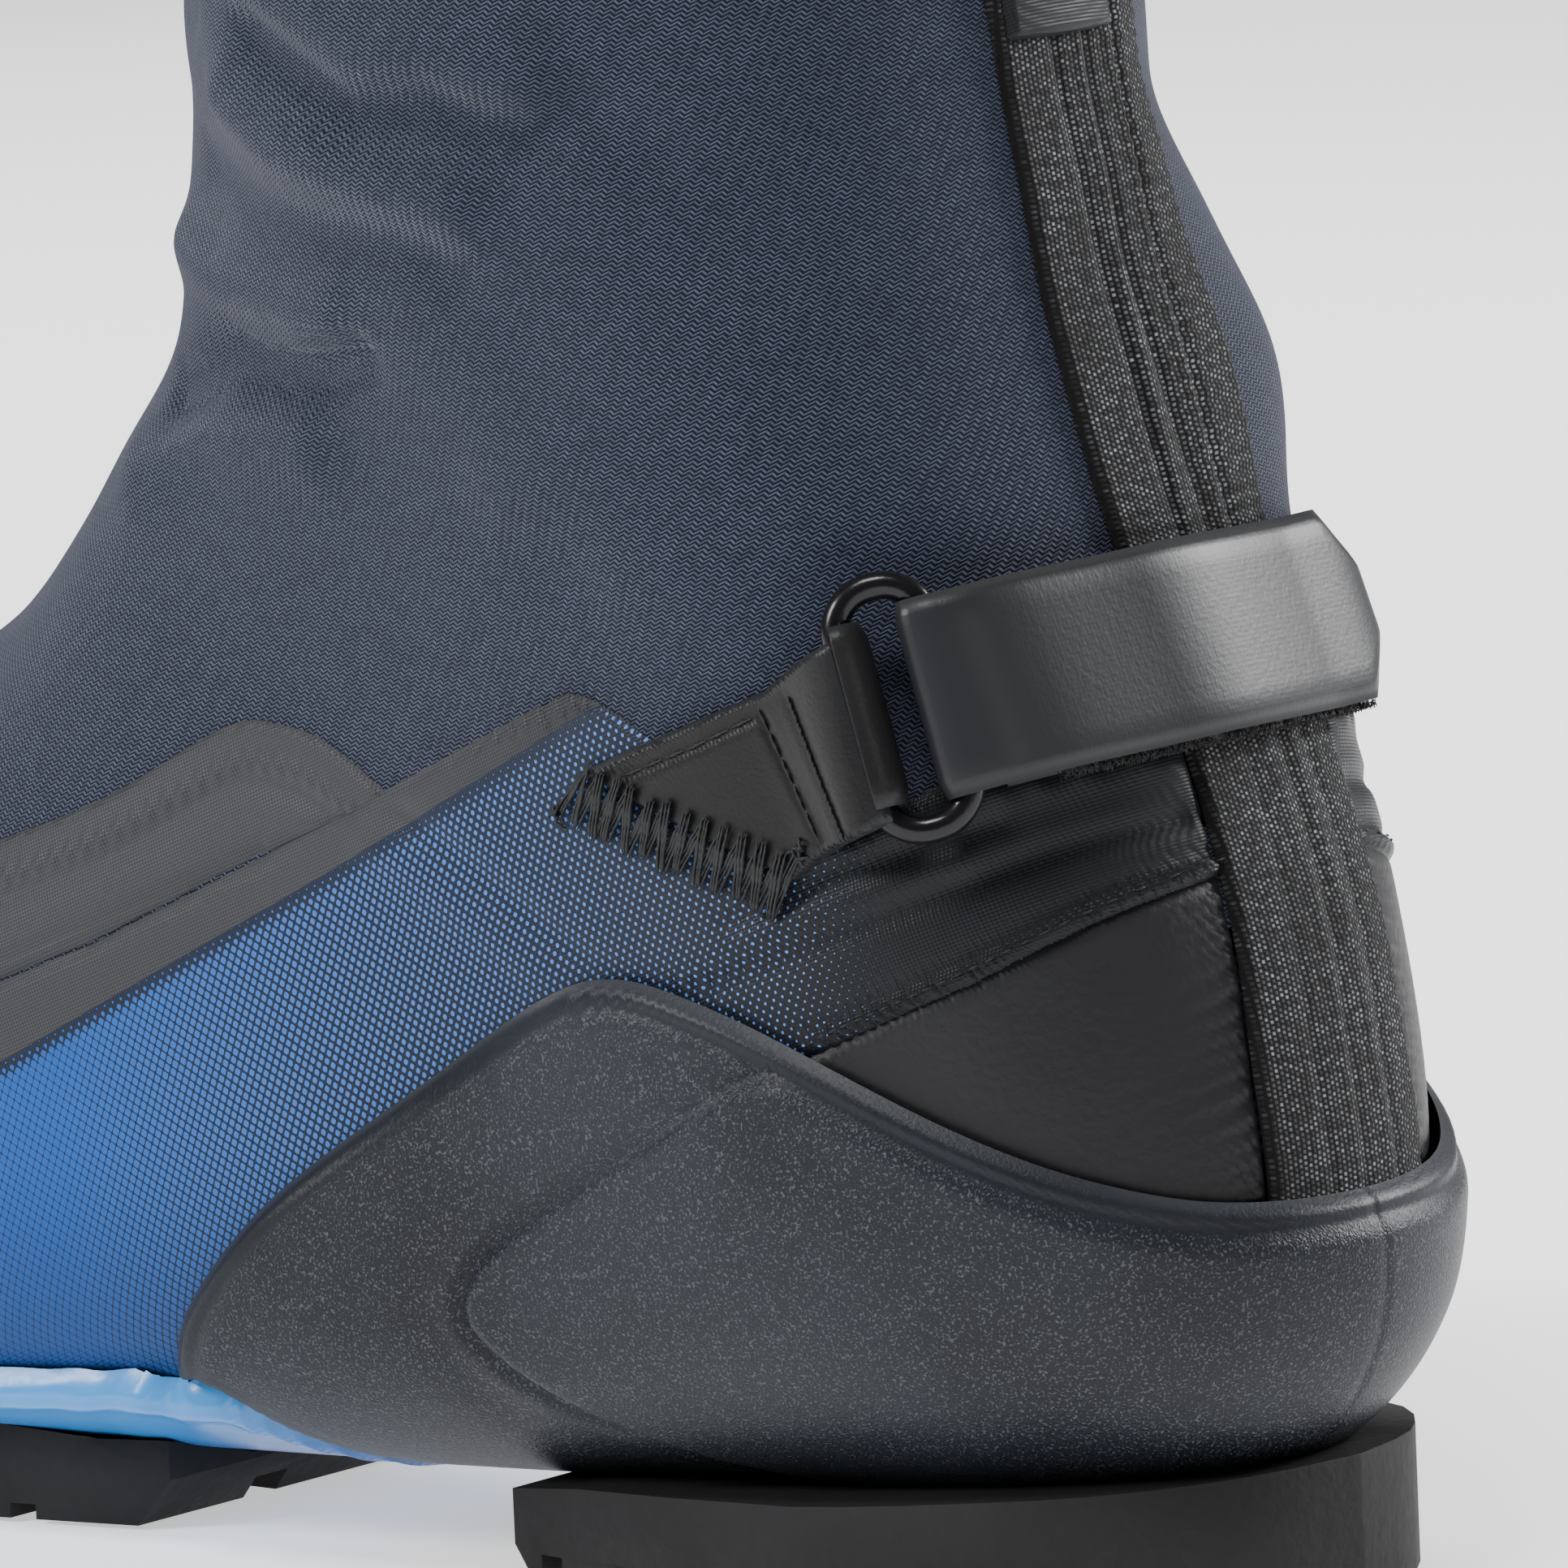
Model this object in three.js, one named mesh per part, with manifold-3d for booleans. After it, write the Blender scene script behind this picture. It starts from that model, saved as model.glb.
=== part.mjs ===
// Cross country ski boot, left foot, size 42, with every layer a piece of its own.
// Millimetres. +X points to the toe, +Y to the outer side, +Z up. The origin is the
// middle of the heel pad's flat underside, on the ground.
import * as THREE from 'three';
import { mergeVertices } from 'three/addons/utils/BufferGeometryUtils.js';
import Module from 'manifold-3d';

const wasm = await Module();
wasm.setup();

// ---- driving dimensions ----
// One row for each section of the last: the lower or back point (x, z), the upper or
// front point (x, z), the half width, the sideways shift, and how square the lower and
// the upper half of the section are (2 is an ellipse). The first is the toe, the last
// the collar.
const sections = [
  [259, 20, 260, 28, 8, -7, 3.0, 3.0],
  [252, 15, 254, 44, 26, -7, 4.0, 3.0],
  [238, 11, 240, 55, 38, -6, 6.0, 2.8],
  [214, 9, 216, 62, 46, -4, 8.0, 2.4],
  [181, 8, 184, 70, 48.5, -2, 8.0, 2.0],
  [146, 8, 152, 81, 45, 0, 8.0, 1.9],
  [106, 9, 125, 95, 41, 1, 7.0, 1.9],
  [62, 10, 111, 113, 38.5, 1, 6.0, 1.9],
  [17, 12, 104.5, 127, 37.5, 0, 5.0, 1.9],
  [-20, 15, 103, 141, 38, 0, 3.6, 1.95],
  [-36, 31, 102.1, 149, 39, 0, 3.0, 2.0],
  [-34, 60, 101.4, 155, 40, 0, 2.8, 2.05],
  [-24.5, 86, 100.8, 161, 41.5, 0, 2.6, 2.1],
  [-15, 110, 100.1, 167, 42.5, 0, 2.4, 2.1],
  [-8.5, 132, 99.3, 174, 43, 0, 2.3, 2.1],
  [-5, 150, 98.6, 181, 43.5, 0, 2.3, 2.1],
  [-2, 168, 97.6, 190, 44, 0, 2.3, 2.1],
];
const collar = sections.length - 1;

// Layers, as distances from the outer face of the softshell: [inner, outer].
const layers = {
  tongue: [-12.4, -9.6],
  liner: [-6.0, -3.6],
  quarter: [-3.3, -1.6],
  board: [-3.2, -1.7],
  cover: [-1.3, 0],
  binding: [-1.9, 0.6],
  film: [0.3, 1.0],
  tape: [0.3, 1.2],
  tab: [1.3, 3.4],
  shell: [1.3, 4.3],
  toeCap: [1.3, 3.3],
  patch: [4.6, 5.8],
};
const bedTopOffset = -6.3; // the footbed fills the liner below its own top line
const gap = 0.3; // between pieces that touch
const tapeHalf = 12; // the back tape is 24 wide
const zip = {
  slot: 8.5, start: 2, end: 61, pitch: 3, tapeTop: 62, sliderLow: 50, sliderHigh: 59, pullReach: 18,
};
const tooth = { tip: 0.2, root: 1.7, back: 2.5, height: 1.6, depth: 1.5, first: 0.4 };
const strap = { backX: -21.5, backZ: 95.3, tilt: 15, half: 10, thick: 1.2 };
const ring = { wire: 2.8, chamfer: 0.7, spacing: 9.2, inside: 21.6, lift: 4.9, angle: 51, foldInner: 2.1 };
const sole = { grooveY: 12, grooveWidth: 5, grooveDepth: 2.4, barWidth: 3, barInside: 17 };
const toeBar = {
  x: 247, y: -6, z: 6.5, radius: 2, halfLength: 15.6, holderHalf: 17, windowHalf: 12, pocket: 8.3,
};
const lock = { depth: -5.2, lineY: 5.4, top: 40, lineRadius: 1, boreRadius: 1.35 };
const spring = { turns: 3, stepsPerTurn: 8, radius: 1.2, wire: 0.3, height: 4.2 };
const shin = { x: 104.5, z: 127, lean: Math.atan(6.9 / 63) };

// ---- materials ----
function finish(color, roughness, metalness = 0) {
  return new THREE.MeshStandardMaterial({ color, roughness, metalness });
}
const softshell = finish(0x232a3c, 0.9);
const film = finish(0x3f444d, 0.5);
const blueFilm = finish(0x2a5f9e, 0.5);
const suede = finish(0x2b2e33, 0.8);
const webbing = finish(0x1b1e22, 0.9);
const cupPlastic = finish(0x22252b, 0.55);
const bluePlastic = finish(0x4a9fd8, 0.3);
const rubber = finish(0x17181a, 0.8);
const steel = finish(0xb8bcc0, 0.3, 1);
const blackWire = finish(0x111214, 0.25, 0.6);
const strapFace = finish(0x3b3f45, 0.45);
const linerFabric = finish(0x26292f, 0.95);
const board = finish(0x8a8577, 0.9);
const hardPlastic = finish(0x15161a, 0.4);
const cordGrey = finish(0x5d636b, 0.8);

const boot = new THREE.Group();

// ---- solids ----
function solid(geometry) {
  const bare = geometry.clone();
  bare.deleteAttribute('normal');
  bare.deleteAttribute('uv');
  const merged = mergeVertices(bare, 1e-4);
  const vertProperties = new Float32Array(merged.attributes.position.array);
  const triVerts = new Uint32Array(merged.index.array);
  return new wasm.Manifold(new wasm.Mesh({ numProp: 3, vertProperties, triVerts }));
}

function geometryOf(shape) {
  const mesh = shape.getMesh();
  const geometry = new THREE.BufferGeometry();
  geometry.setAttribute('position', new THREE.BufferAttribute(new Float32Array(mesh.vertProperties), 3));
  geometry.setIndex(new THREE.BufferAttribute(new Uint32Array(mesh.triVerts), 1));
  geometry.computeVertexNormals();
  return geometry;
}

function add(name, shape, material, parent = boot) {
  const mesh = new THREE.Mesh(geometryOf(shape), material);
  mesh.name = name;
  parent.add(mesh);
}

function cutAll(shape, ...cutters) {
  return cutters.reduce((left, cutter) => left.subtract(cutter), shape);
}

function joinAll(shapes) {
  return shapes.reduce((sum, shape) => sum.add(shape));
}

function box(x0, x1, y0, y1, z0, z1) {
  const geometry = new THREE.BoxGeometry(x1 - x0, y1 - y0, z1 - z0);
  geometry.translate((x0 + x1) / 2, (y0 + y1) / 2, (z0 + z1) / 2);
  return solid(geometry);
}

// A rod of `sides` faces from point a to point b.
function rod(a, b, radius, sides = 10) {
  const way = new THREE.Vector3().subVectors(b, a);
  const geometry = new THREE.CylinderGeometry(radius, radius, way.length(), sides);
  geometry.translate(0, way.length() / 2, 0);
  const turn = new THREE.Quaternion().setFromUnitVectors(new THREE.Vector3(0, 1, 0), way.normalize());
  geometry.applyQuaternion(turn);
  geometry.translate(a.x, a.y, a.z);
  return solid(geometry);
}

// An outline in the side view, [x, z] points, made solid from one y to another.
function sidePrism(points, y0, y1) {
  const shape = new THREE.Shape(points.map(([x, z]) => new THREE.Vector2(x, z)));
  const geometry = new THREE.ExtrudeGeometry(shape, { depth: y1 - y0, bevelEnabled: false });
  geometry.rotateX(Math.PI / 2);
  geometry.translate(0, y1, 0);
  return solid(geometry);
}

// An outline in the plan, [x, y] points, made solid from one z to another.
function planPrism(points, z0, z1) {
  const shape = new THREE.Shape(points.map(([x, y]) => new THREE.Vector2(x, y)));
  const geometry = new THREE.ExtrudeGeometry(shape, { depth: z1 - z0, bevelEnabled: false });
  geometry.translate(0, 0, z0);
  return solid(geometry);
}

// A smooth open curve through hand-placed points.
function smooth(points, count) {
  const curve = new THREE.SplineCurve(points.map(([a, b]) => new THREE.Vector2(a, b)));
  return curve.getPoints(count).map((p) => [p.x, p.y]);
}

// ---- the last: the boot's outer form ----
// The section at t, by Catmull-Rom between the rows, and straight on past the collar.
function sectionAt(t) {
  const i = Math.min(Math.floor(t), collar - 1);
  const f = Math.min(t, collar) - i;
  const over = Math.max(t - collar, 0);
  const [p1, p2] = [sections[i], sections[i + 1]];
  return p1.map((_, k) => {
    const p0 = i > 0 ? sections[i - 1][k] : 2 * p1[k] - p2[k];
    const p3 = i + 2 <= collar ? sections[i + 2][k] : 2 * p2[k] - p1[k];
    const bend = (2 * p0 - 5 * p1[k] + 4 * p2[k] - p3) * f * f + (3 * (p1[k] - p2[k]) + p3 - p0) * f ** 3;
    return 0.5 * (2 * p1[k] + (p2[k] - p0) * f + bend) + over * (p2[k] - p1[k]);
  });
}

// A point on the last. Around is 0 at the back or sole, 90 degrees on the outer side and
// 180 at the front.
function onLast(t, around) {
  const [x0, z0, x1, z1, half, shift, squareLow, squareHigh] = sectionAt(t);
  const c = Math.cos(around);
  const along = -Math.sign(c) * Math.abs(c) ** (2 / (c > 0 ? squareLow : squareHigh));
  const x = (x0 + x1 + (x1 - x0) * along) / 2;
  const z = (z0 + z1 + (z1 - z0) * along) / 2;
  return new THREE.Vector3(x, shift + half * Math.sin(around), z);
}

// The outward normal of the last, and a point `off` outside it.
function normalAt(t, around) {
  const d = 0.02;
  const up = new THREE.Vector3().subVectors(onLast(t + d, around), onLast(t - d, around));
  return up.cross(new THREE.Vector3().subVectors(onLast(t, around + d), onLast(t, around - d))).normalize();
}

function offLast(t, around, off) {
  return onLast(t, around).addScaledVector(normalAt(t, around), off);
}

const ringSteps = [0, 0.5, 1, 1.5, 2, 3, 4, 5, 6, 7, 8, 8.6, 9.1, 9.5, 10, 11, 12.5, 14, 16, 17];
const aroundSteps = 16;
const toeBulge = 0.3; // how far the toe's tip stands out, as a share of the offset

// One ring of points on the last for each step from section `from` to past the collar.
function ringsFrom(from) {
  const turn = (2 * Math.PI) / aroundSteps;
  return ringSteps
    .filter((t) => t >= from)
    .map((t) => Array.from({ length: aroundSteps }, (_, j) => onLast(t, j * turn)));
}

// The same rings moved outwards by `off`.
function grown(rings, off) {
  return rings.map((ring, i) => ring.map((point, j) => {
    const before = rings[Math.max(i - 1, 0)][j];
    const after = rings[Math.min(i + 1, rings.length - 1)][j];
    const next = ring[(j + 1) % aroundSteps];
    const last = ring[(j + aroundSteps - 1) % aroundSteps];
    const normal = after.clone().sub(before).cross(next.clone().sub(last)).normalize();
    return point.clone().addScaledVector(normal, off);
  }));
}

// The last grown outwards by `off`, as one closed solid from section `from` to past the
// collar. All of them share one grid, so the faces of two layers stay parallel.
const forms = new Map();
function form(off, from = 0) {
  const key = `${off} ${from}`;
  if (forms.has(key)) return forms.get(key);
  const rings = grown(ringsFrom(from), off);
  const points = rings.flat();
  const faces = [];
  for (let i = 0; i + 1 < rings.length; i++) {
    for (let j = 0; j < aroundSteps; j++) {
      const k = (j + 1) % aroundSteps;
      const [a, b] = [i * aroundSteps + j, i * aroundSteps + k];
      const [c, d] = [b + aroundSteps, a + aroundSteps];
      faces.push(a, c, b, a, d, c);
    }
  }
  for (const i of [0, rings.length - 1]) {
    const isToe = i === 0;
    const middle = rings[i].reduce((sum, p) => sum.add(p), new THREE.Vector3()).divideScalar(aroundSteps);
    if (isToe && from === 0) middle.x += off * toeBulge;
    const tip = points.push(middle) - 1;
    for (let j = 0; j < aroundSteps; j++) {
      const [a, b] = [i * aroundSteps + j, i * aroundSteps + ((j + 1) % aroundSteps)];
      faces.push(...(isToe ? [a, b, tip] : [b, a, tip]));
    }
  }
  const geometry = new THREE.BufferGeometry().setFromPoints(points);
  geometry.setIndex(faces);
  const shape = solid(geometry);
  forms.set(key, shape);
  return shape;
}

function layer([inner, outer], from = 0) {
  return form(outer, from).subtract(form(inner, from));
}

// The space under the collar line, lowered by `drop`.
function belowCollar(drop) {
  const slope = 22 / 99.6;
  const line = (x) => 168 + slope * (x + 2) - drop;
  return sidePrism([[-70, -20], [300, -20], [300, line(300)], [-70, line(-70)]], -80, 80);
}

// A frame of the shin: local +Z runs up the straight front line, local +X outwards.
const shinFrame = new THREE.Group();
shinFrame.position.set(shin.x, 0, shin.z);
shinFrame.rotation.y = -shin.lean;
shinFrame.updateMatrixWorld(true);
boot.add(shinFrame);

function onShin(x0, x1, y0, y1, z0, z1) {
  const geometry = new THREE.BoxGeometry(x1 - x0, y1 - y0, z1 - z0);
  geometry.translate((x0 + x1) / 2, (y0 + y1) / 2, (z0 + z1) / 2);
  geometry.applyMatrix4(shinFrame.matrixWorld);
  return solid(geometry);
}

// ---- the soft upper ----
const outerSide = (y0) => box(-80, 300, y0, 90, -20, 230);
const innerSide = (y0) => box(-80, 300, -90, -y0, -20, 230);
const throat = [[150, 60], [170, 90], [130, 240], [60, 240], [75, 130], [96, 92], [130, 60]];
const throatHalf = { liner: 18, quarter: 15, tongue: 24 };
const zipSlot = onShin(-14, 14, -zip.slot, zip.slot, 0, 90);
const collarEdge = { binding: 5, lining: 9 };

function upper() {
  const cover = cutAll(layer(layers.cover), zipSlot).intersect(belowCollar(collarEdge.binding + gap));
  add('cover_lateral', cover.intersect(outerSide(gap / 2)), softshell);
  add('cover_medial', cover.intersect(innerSide(gap / 2)), softshell);

  const binding = cutAll(layer(layers.binding), zipSlot, belowCollar(collarEdge.binding));
  add('collar_binding', binding.intersect(belowCollar(0)), webbing);

  const linerThroat = sidePrism(throat, -throatHalf.liner, throatHalf.liner);
  const liner = cutAll(layer(layers.liner), linerThroat).intersect(belowCollar(collarEdge.lining));
  add('liner', liner, linerFabric);

  const tongueSide = [[152, 60], [170, 90], [130, 240], [60, 240], [75, 130], [90, 92], [130, 60]];
  const tongueArea = sidePrism(tongueSide, -throatHalf.tongue, throatHalf.tongue);
  const tongue = layer(layers.tongue, 4).intersect(tongueArea).intersect(belowCollar(collarEdge.lining));
  add('tongue', tongue, linerFabric);
}

// Lower edge pieces: board, footbed, heel counter and the inner lacing quarters.
const boardPlan = [
  ...smooth([[-27, 0], [-22, 18], [0, 25], [60, 26], [140, 33], [185, 36], [225, 24], [244, 0]], 18),
  ...smooth([[244, -8], [228, -34], [185, -40], [140, -33], [60, -24], [0, -25], [-22, -18], [-27, -4]], 18),
];

const bedTop = smooth([
  [-40, 27], [-20, 26], [17, 22.8], [62, 20.8], [106, 19.8], [146, 18.8], [214, 19.8], [246, 24],
], 16);
const quarterArea = [
  [-80, 138], [60, 156], [92, 160], [122, 100], [160, 66], [205, 58], [240, 18], [240, -20], [-80, -20],
];
const counterArea = [[-80, 78], [-20, 72], [22, 52], [34, 30], [34, -20], [-80, -20]];
const puffArea = [[300, -20], [300, 90], [228, 90], [240.4, 18], [240.4, -20]];
const boardMiddle = 105;

function inside() {
  add('lasting_board', layer(layers.board).intersect(planPrism(boardPlan, -20, 24)), board);

  const bedSide = sidePrism([[246, -10], ...bedTop.reverse(), [-40, -10]], -60, 60);
  add('footbed', form(bedTopOffset).intersect(bedSide), linerFabric);

  const widerPlan = boardPlan.map(([x, y]) => [boardMiddle + (x - boardMiddle) * 1.008, y * 1.03]);
  const quarterThroat = sidePrism(throat, -throatHalf.quarter, throatHalf.quarter);
  const wall = cutAll(layer(layers.quarter), planPrism(widerPlan, -20, 26), quarterThroat);
  const counterHole = sidePrism(counterArea.map(([x, z]) => [x + gap, z + gap]), -80, 80);
  const quarter = cutAll(wall, counterHole).intersect(sidePrism(quarterArea, -80, 80));
  add('inner_quarter_lateral', quarter.intersect(outerSide(gap / 2)), suede);
  add('inner_quarter_medial', quarter.intersect(innerSide(gap / 2)), suede);
  add('heel_counter', wall.intersect(sidePrism(counterArea, -80, 80)), hardPlastic);

  const behindPuff = box(-80, 240.6, -90, 90, -20, 40);
  add('toe_puff', cutAll(wall, behindPuff).intersect(sidePrism(puffArea, -80, 80)), hardPlastic);
}

// ---- the lacing under the cover ----
const lacingLevels = [5.4, 6.2, 7, 7.8, 8.6];
const lacingDepth = { eyelet: -6.1, crossing: -5.4 };
const eyeletY = 14.2;
const guideRail = { out: 2, radius: 0.5 };

function eyelet(t, side) {
  const around = Math.PI - side * Math.asin(eyeletY / sectionAt(t)[4]);
  return { point: offLast(t, around, lacingDepth.eyelet), out: normalAt(t, around) };
}

// A hook, open to the middle, that the lace turns in.
function guideHook(t, side) {
  const { point, out } = eyelet(t, side);
  const up = new THREE.Vector3(0, 1, 0).cross(out).normalize();
  const basis = new THREE.Matrix4().makeBasis(up, new THREE.Vector3().crossVectors(out, up), out);
  basis.setPosition(point);
  const block = geometryOf(box(-2.5, 2.5, -2.7, 2.7, -2.1, 2.1)).applyMatrix4(basis);
  const [low, high] = side > 0 ? [-3, 2] : [-2, 3];
  const slot = geometryOf(box(-3, 3, low, high, -1.6, 1.6)).applyMatrix4(basis);
  return solid(block).subtract(solid(slot));
}

function lacing() {
  const crossing = (t) => offLast(t, Math.PI, lacingDepth.crossing);
  const lockLine = (z, y) => shinFrame.localToWorld(new THREE.Vector3(lock.depth, y, z));
  const line = (a, b) => rod(a, b, lock.lineRadius, 5);
  const lines = [];
  for (const side of [-1, 1]) {
    const spots = lacingLevels.map((t) => eyelet(t, side).point);
    lines.push(line(spots[0], crossing(lacingLevels[0])));
    for (let k = 0; k + 1 < spots.length; k++) {
      const middle = crossing((lacingLevels[k] + lacingLevels[k + 1]) / 2);
      lines.push(line(spots[k], middle), line(middle, spots[k + 1]));
    }
    const y = side * lock.lineY;
    lines.push(line(spots.at(-1), lockLine(14, y)), line(lockLine(13.6, y), lockLine(53, y)));
  }
  lines.push(line(lockLine(52.2, -lock.lineY - 0.2), lockLine(52.2, lock.lineY + 0.2)));
  add('lace', joinAll(lines), cordGrey);

  for (const [name, side] of [['lateral', 1], ['medial', -1]]) {
    const hooks = lacingLevels.map((t) => guideHook(t, side));
    const sideways = new THREE.Vector3(0, side * guideRail.out, 0);
    const spots = lacingLevels.map((t) => eyelet(t, side).point.add(sideways));
    const rail = spots.slice(1).map((spot, k) => rod(spots[k], spot, guideRail.radius, 5));
    add(`lace_guides_${name}`, joinAll([...hooks, ...rail]), hardPlastic);
  }
}

// ---- lace lock, zip: built in the frame of the shin ----
function laceLock() {
  const { depth, lineY, top } = lock;
  const body = box(depth - 3, depth + 3, -8, 8, top - 12, top);
  const at = (side, z) => new THREE.Vector3(depth, side * lineY, z);
  const bores = [-1, 1].map((side) => rod(at(side, top - 14), at(side, top + 2), lock.boreRadius, 8));
  const well = box(depth - 2, depth + 2, -3, 3, top - 9, top + 1);
  add('lace_lock', cutAll(body, well, ...bores), hardPlastic, shinFrame);
  const button = box(depth - 1.7, depth + 1.7, -2.7, 2.7, top - 3.5, top + 3.4);
  add('lace_lock_button', button, strapFace, shinFrame);

  const steps = spring.turns * spring.stepsPerTurn;
  const coil = Array.from({ length: steps + 1 }, (_, i) => {
    const angle = (i / spring.stepsPerTurn) * 2 * Math.PI;
    const [x, y] = [depth + spring.radius * Math.cos(angle), spring.radius * Math.sin(angle)];
    return new THREE.Vector3(x, y, top - 8.3 + (spring.height * i) / steps);
  });
  const wire = new THREE.Shape().absarc(0, 0, spring.wire, 0, 2 * Math.PI);
  const options = { steps, extrudePath: new THREE.CatmullRomCurve3(coil), curveSegments: 2 };
  add('lace_lock_spring', solid(new THREE.ExtrudeGeometry(wire, options)), steel, shinFrame);
}

// One row of teeth with its cord, as a comb that is extruded towards the front.
function toothComb(sign, shiftUp) {
  const { tip, root, back, height, depth, first } = tooth;
  const outline = [[back, zip.start], [root, zip.start]];
  for (let z = zip.start + first + shiftUp; z + height < zip.end; z += zip.pitch) {
    outline.push([root, z], [tip, z], [tip, z + height], [root, z + height]);
  }
  outline.push([root, zip.end], [back, zip.end]);
  const shape = new THREE.Shape(outline.map(([y, z]) => new THREE.Vector2(y * sign, z)));
  const geometry = new THREE.ExtrudeGeometry(shape, { depth, bevelEnabled: false });
  geometry.rotateX(Math.PI / 2);
  geometry.rotateZ(Math.PI / 2);
  return solid(geometry);
}

// Two boxes in the shin's frame, one on each side, from |y| = y0 to y1.
function pair(x0, x1, y0, y1, z0, z1) {
  return [box(x0, x1, y0, y1, z0, z1), box(x0, x1, -y1, -y0, z0, z1)];
}

function zipper() {
  const tapes = pair(-1.2, -0.3, 0.2, zip.slot - gap, 0.3, zip.tapeTop);
  add('zip_tape_lateral', tapes[0], webbing, shinFrame);
  add('zip_tape_medial', tapes[1], webbing, shinFrame);
  add('zip_teeth_lateral', toothComb(1, 0), hardPlastic, shinFrame);
  add('zip_teeth_medial', toothComb(-1, zip.pitch / 2), hardPlastic, shinFrame);
  add('zip_stop', box(0, 2, -2.4, 2.4, 0.2, 1.7), steel, shinFrame);

  const [low, high] = [zip.sliderLow, zip.sliderHigh];
  const plate = box(1.8, 2.8, -4.4, 4.4, low, high);
  const flanges = pair(0, 1.9, 2.9, 4.4, low, high);
  const eye = box(2.8, 5.2, -2, 2, high - 5.6, high - 1.4);
  const arch = box(2.7, 6, -1.5, 1.5, high - 6.5, high - 0.5).subtract(eye);
  add('zip_slider', joinAll([plate, ...flanges, arch]), blackWire, shinFrame);

  const pivotZ = high - 3.5;
  const bar = rod(new THREE.Vector3(4, -3.4, pivotZ), new THREE.Vector3(4, 3.4, pivotZ), 0.9, 10);
  const arms = pair(3.2, 4.8, 2, 3.4, pivotZ - 7, pivotZ + 0.9);
  const pull = box(3.2, 4.8, -3.4, 3.4, pivotZ - zip.pullReach, pivotZ - 6);
  add('zip_puller', joinAll([bar, ...arms, pull]), blackWire, shinFrame);
}

// ---- films and panels on the upper ----
const seamTop = [
  [300, 20], [232, 27], [200, 33], [160, 41], [125, 51], [94, 62.8], [73, 72.5], [56, 80.4],
];
const filmBack = [[28, 92.5], [17, 89.4], [0, 91], [-60, 101]];
const panelEdge = [[-60, 84], [-29.5, 74], [-15.4, 65.4], [0.3, 58.1], [30, 44], [44, 34], [52, 16], [52, -20]];
const instepEdge = smooth([
  [57, 81], [70, 85.8], [78, 85.6], [95, 77], [118, 69], [150, 57], [190, 43], [240, 30],
], 16);

function panels() {
  const skin = layer(layers.film);
  const sides = [['lateral', outerSide(tapeHalf + gap)], ['medial', innerSide(tapeHalf + gap)]];
  const filmFoot = panelEdge.map(([x, z]) => [x + gap, z + gap]);
  const sideArea = sidePrism([...seamTop, ...filmBack, ...filmFoot, [300, -20]], -80, 80);
  const seamRaised = seamTop.slice(1, -1).map(([x, z]) => [x, z + 0.5]);
  const instepArea = sidePrism([...instepEdge, ...seamRaised], -80, 80);
  const heelArea = sidePrism([...panelEdge, [-60, -20]], -80, 80);
  const bottomOpen = planPrism(boardPlan, -20, 24);
  for (const [name, side] of sides) {
    add(`side_film_${name}`, cutAll(skin, bottomOpen).intersect(sideArea).intersect(side), blueFilm);
    add(`instep_film_${name}`, skin.intersect(instepArea).intersect(side), film);
    add(`heel_panel_${name}`, cutAll(skin, bottomOpen).intersect(heelArea).intersect(side), suede);
  }
  const tapeArea = sidePrism([[-80, 20], [30, 20], [30, 220], [-80, 220]], -tapeHalf, tapeHalf);
  const tapeEnd = belowCollar(collarEdge.binding + gap);
  add('back_tape', layer(layers.tape).intersect(tapeArea).intersect(tapeEnd), webbing);
}

// ---- heel cup, sole chassis, toe cap ----
const cupRim = smooth([
  [-60, 41], [-38, 41.6], [-24, 46], [0, 57.6], [13, 62.4], [24, 64.2], [34, 61.4], [50, 51.8],
  [70, 38.8], [82, 27.4], [87.6, 19],
], 26);
// The cup's lower edge, from the back to where it rises over the chassis.
const cupFoot = [[-60, 9.3], [65.5, 9.3], [69, 11.1], [74, 14.3], [79, 17.3], [82, 18.8], [86.8, 18.9]];
const chassisTop = [[88.8, 18], [120, 17.6], [180, 17], [222, 18], [245, 23], [300, 27]];
const chassisBack = -14;
const capEdge = [
  [222, 18.4], [245, 23.4], [300, 27.4], [300, 90], [246, 90], [238, 56], [230, 34], [222, 24],
];

// The well for the toe bar's holder, up to height `top`.
function toePocket(top) {
  const { x, y, holderHalf, pocket } = toeBar;
  return box(x - pocket, x + pocket, y - holderHalf - gap, y + holderHalf + gap, -20, top);
}

function hardShell() {
  const cupArea = sidePrism([...cupRim, ...cupFoot.slice(0, -1).reverse()], -80, 80);
  add('heel_cup', layer(layers.shell).intersect(cupArea), cupPlastic);

  const underCup = cupFoot.slice(1).map(([x, z]) => [x, z - gap]);
  const chassisOutline = [
    [chassisBack, -10], [chassisBack, underCup[0][1]], ...underCup, ...chassisTop, [300, -10],
  ];
  const chassis = layer(layers.shell).intersect(sidePrism(chassisOutline, -80, 80));
  add('sole_chassis', cutAll(chassis, toePocket(14)), bluePlastic);

  add('toe_cap', layer(layers.toeCap).intersect(sidePrism(capEdge, -80, 80)), rubber);
}

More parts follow.
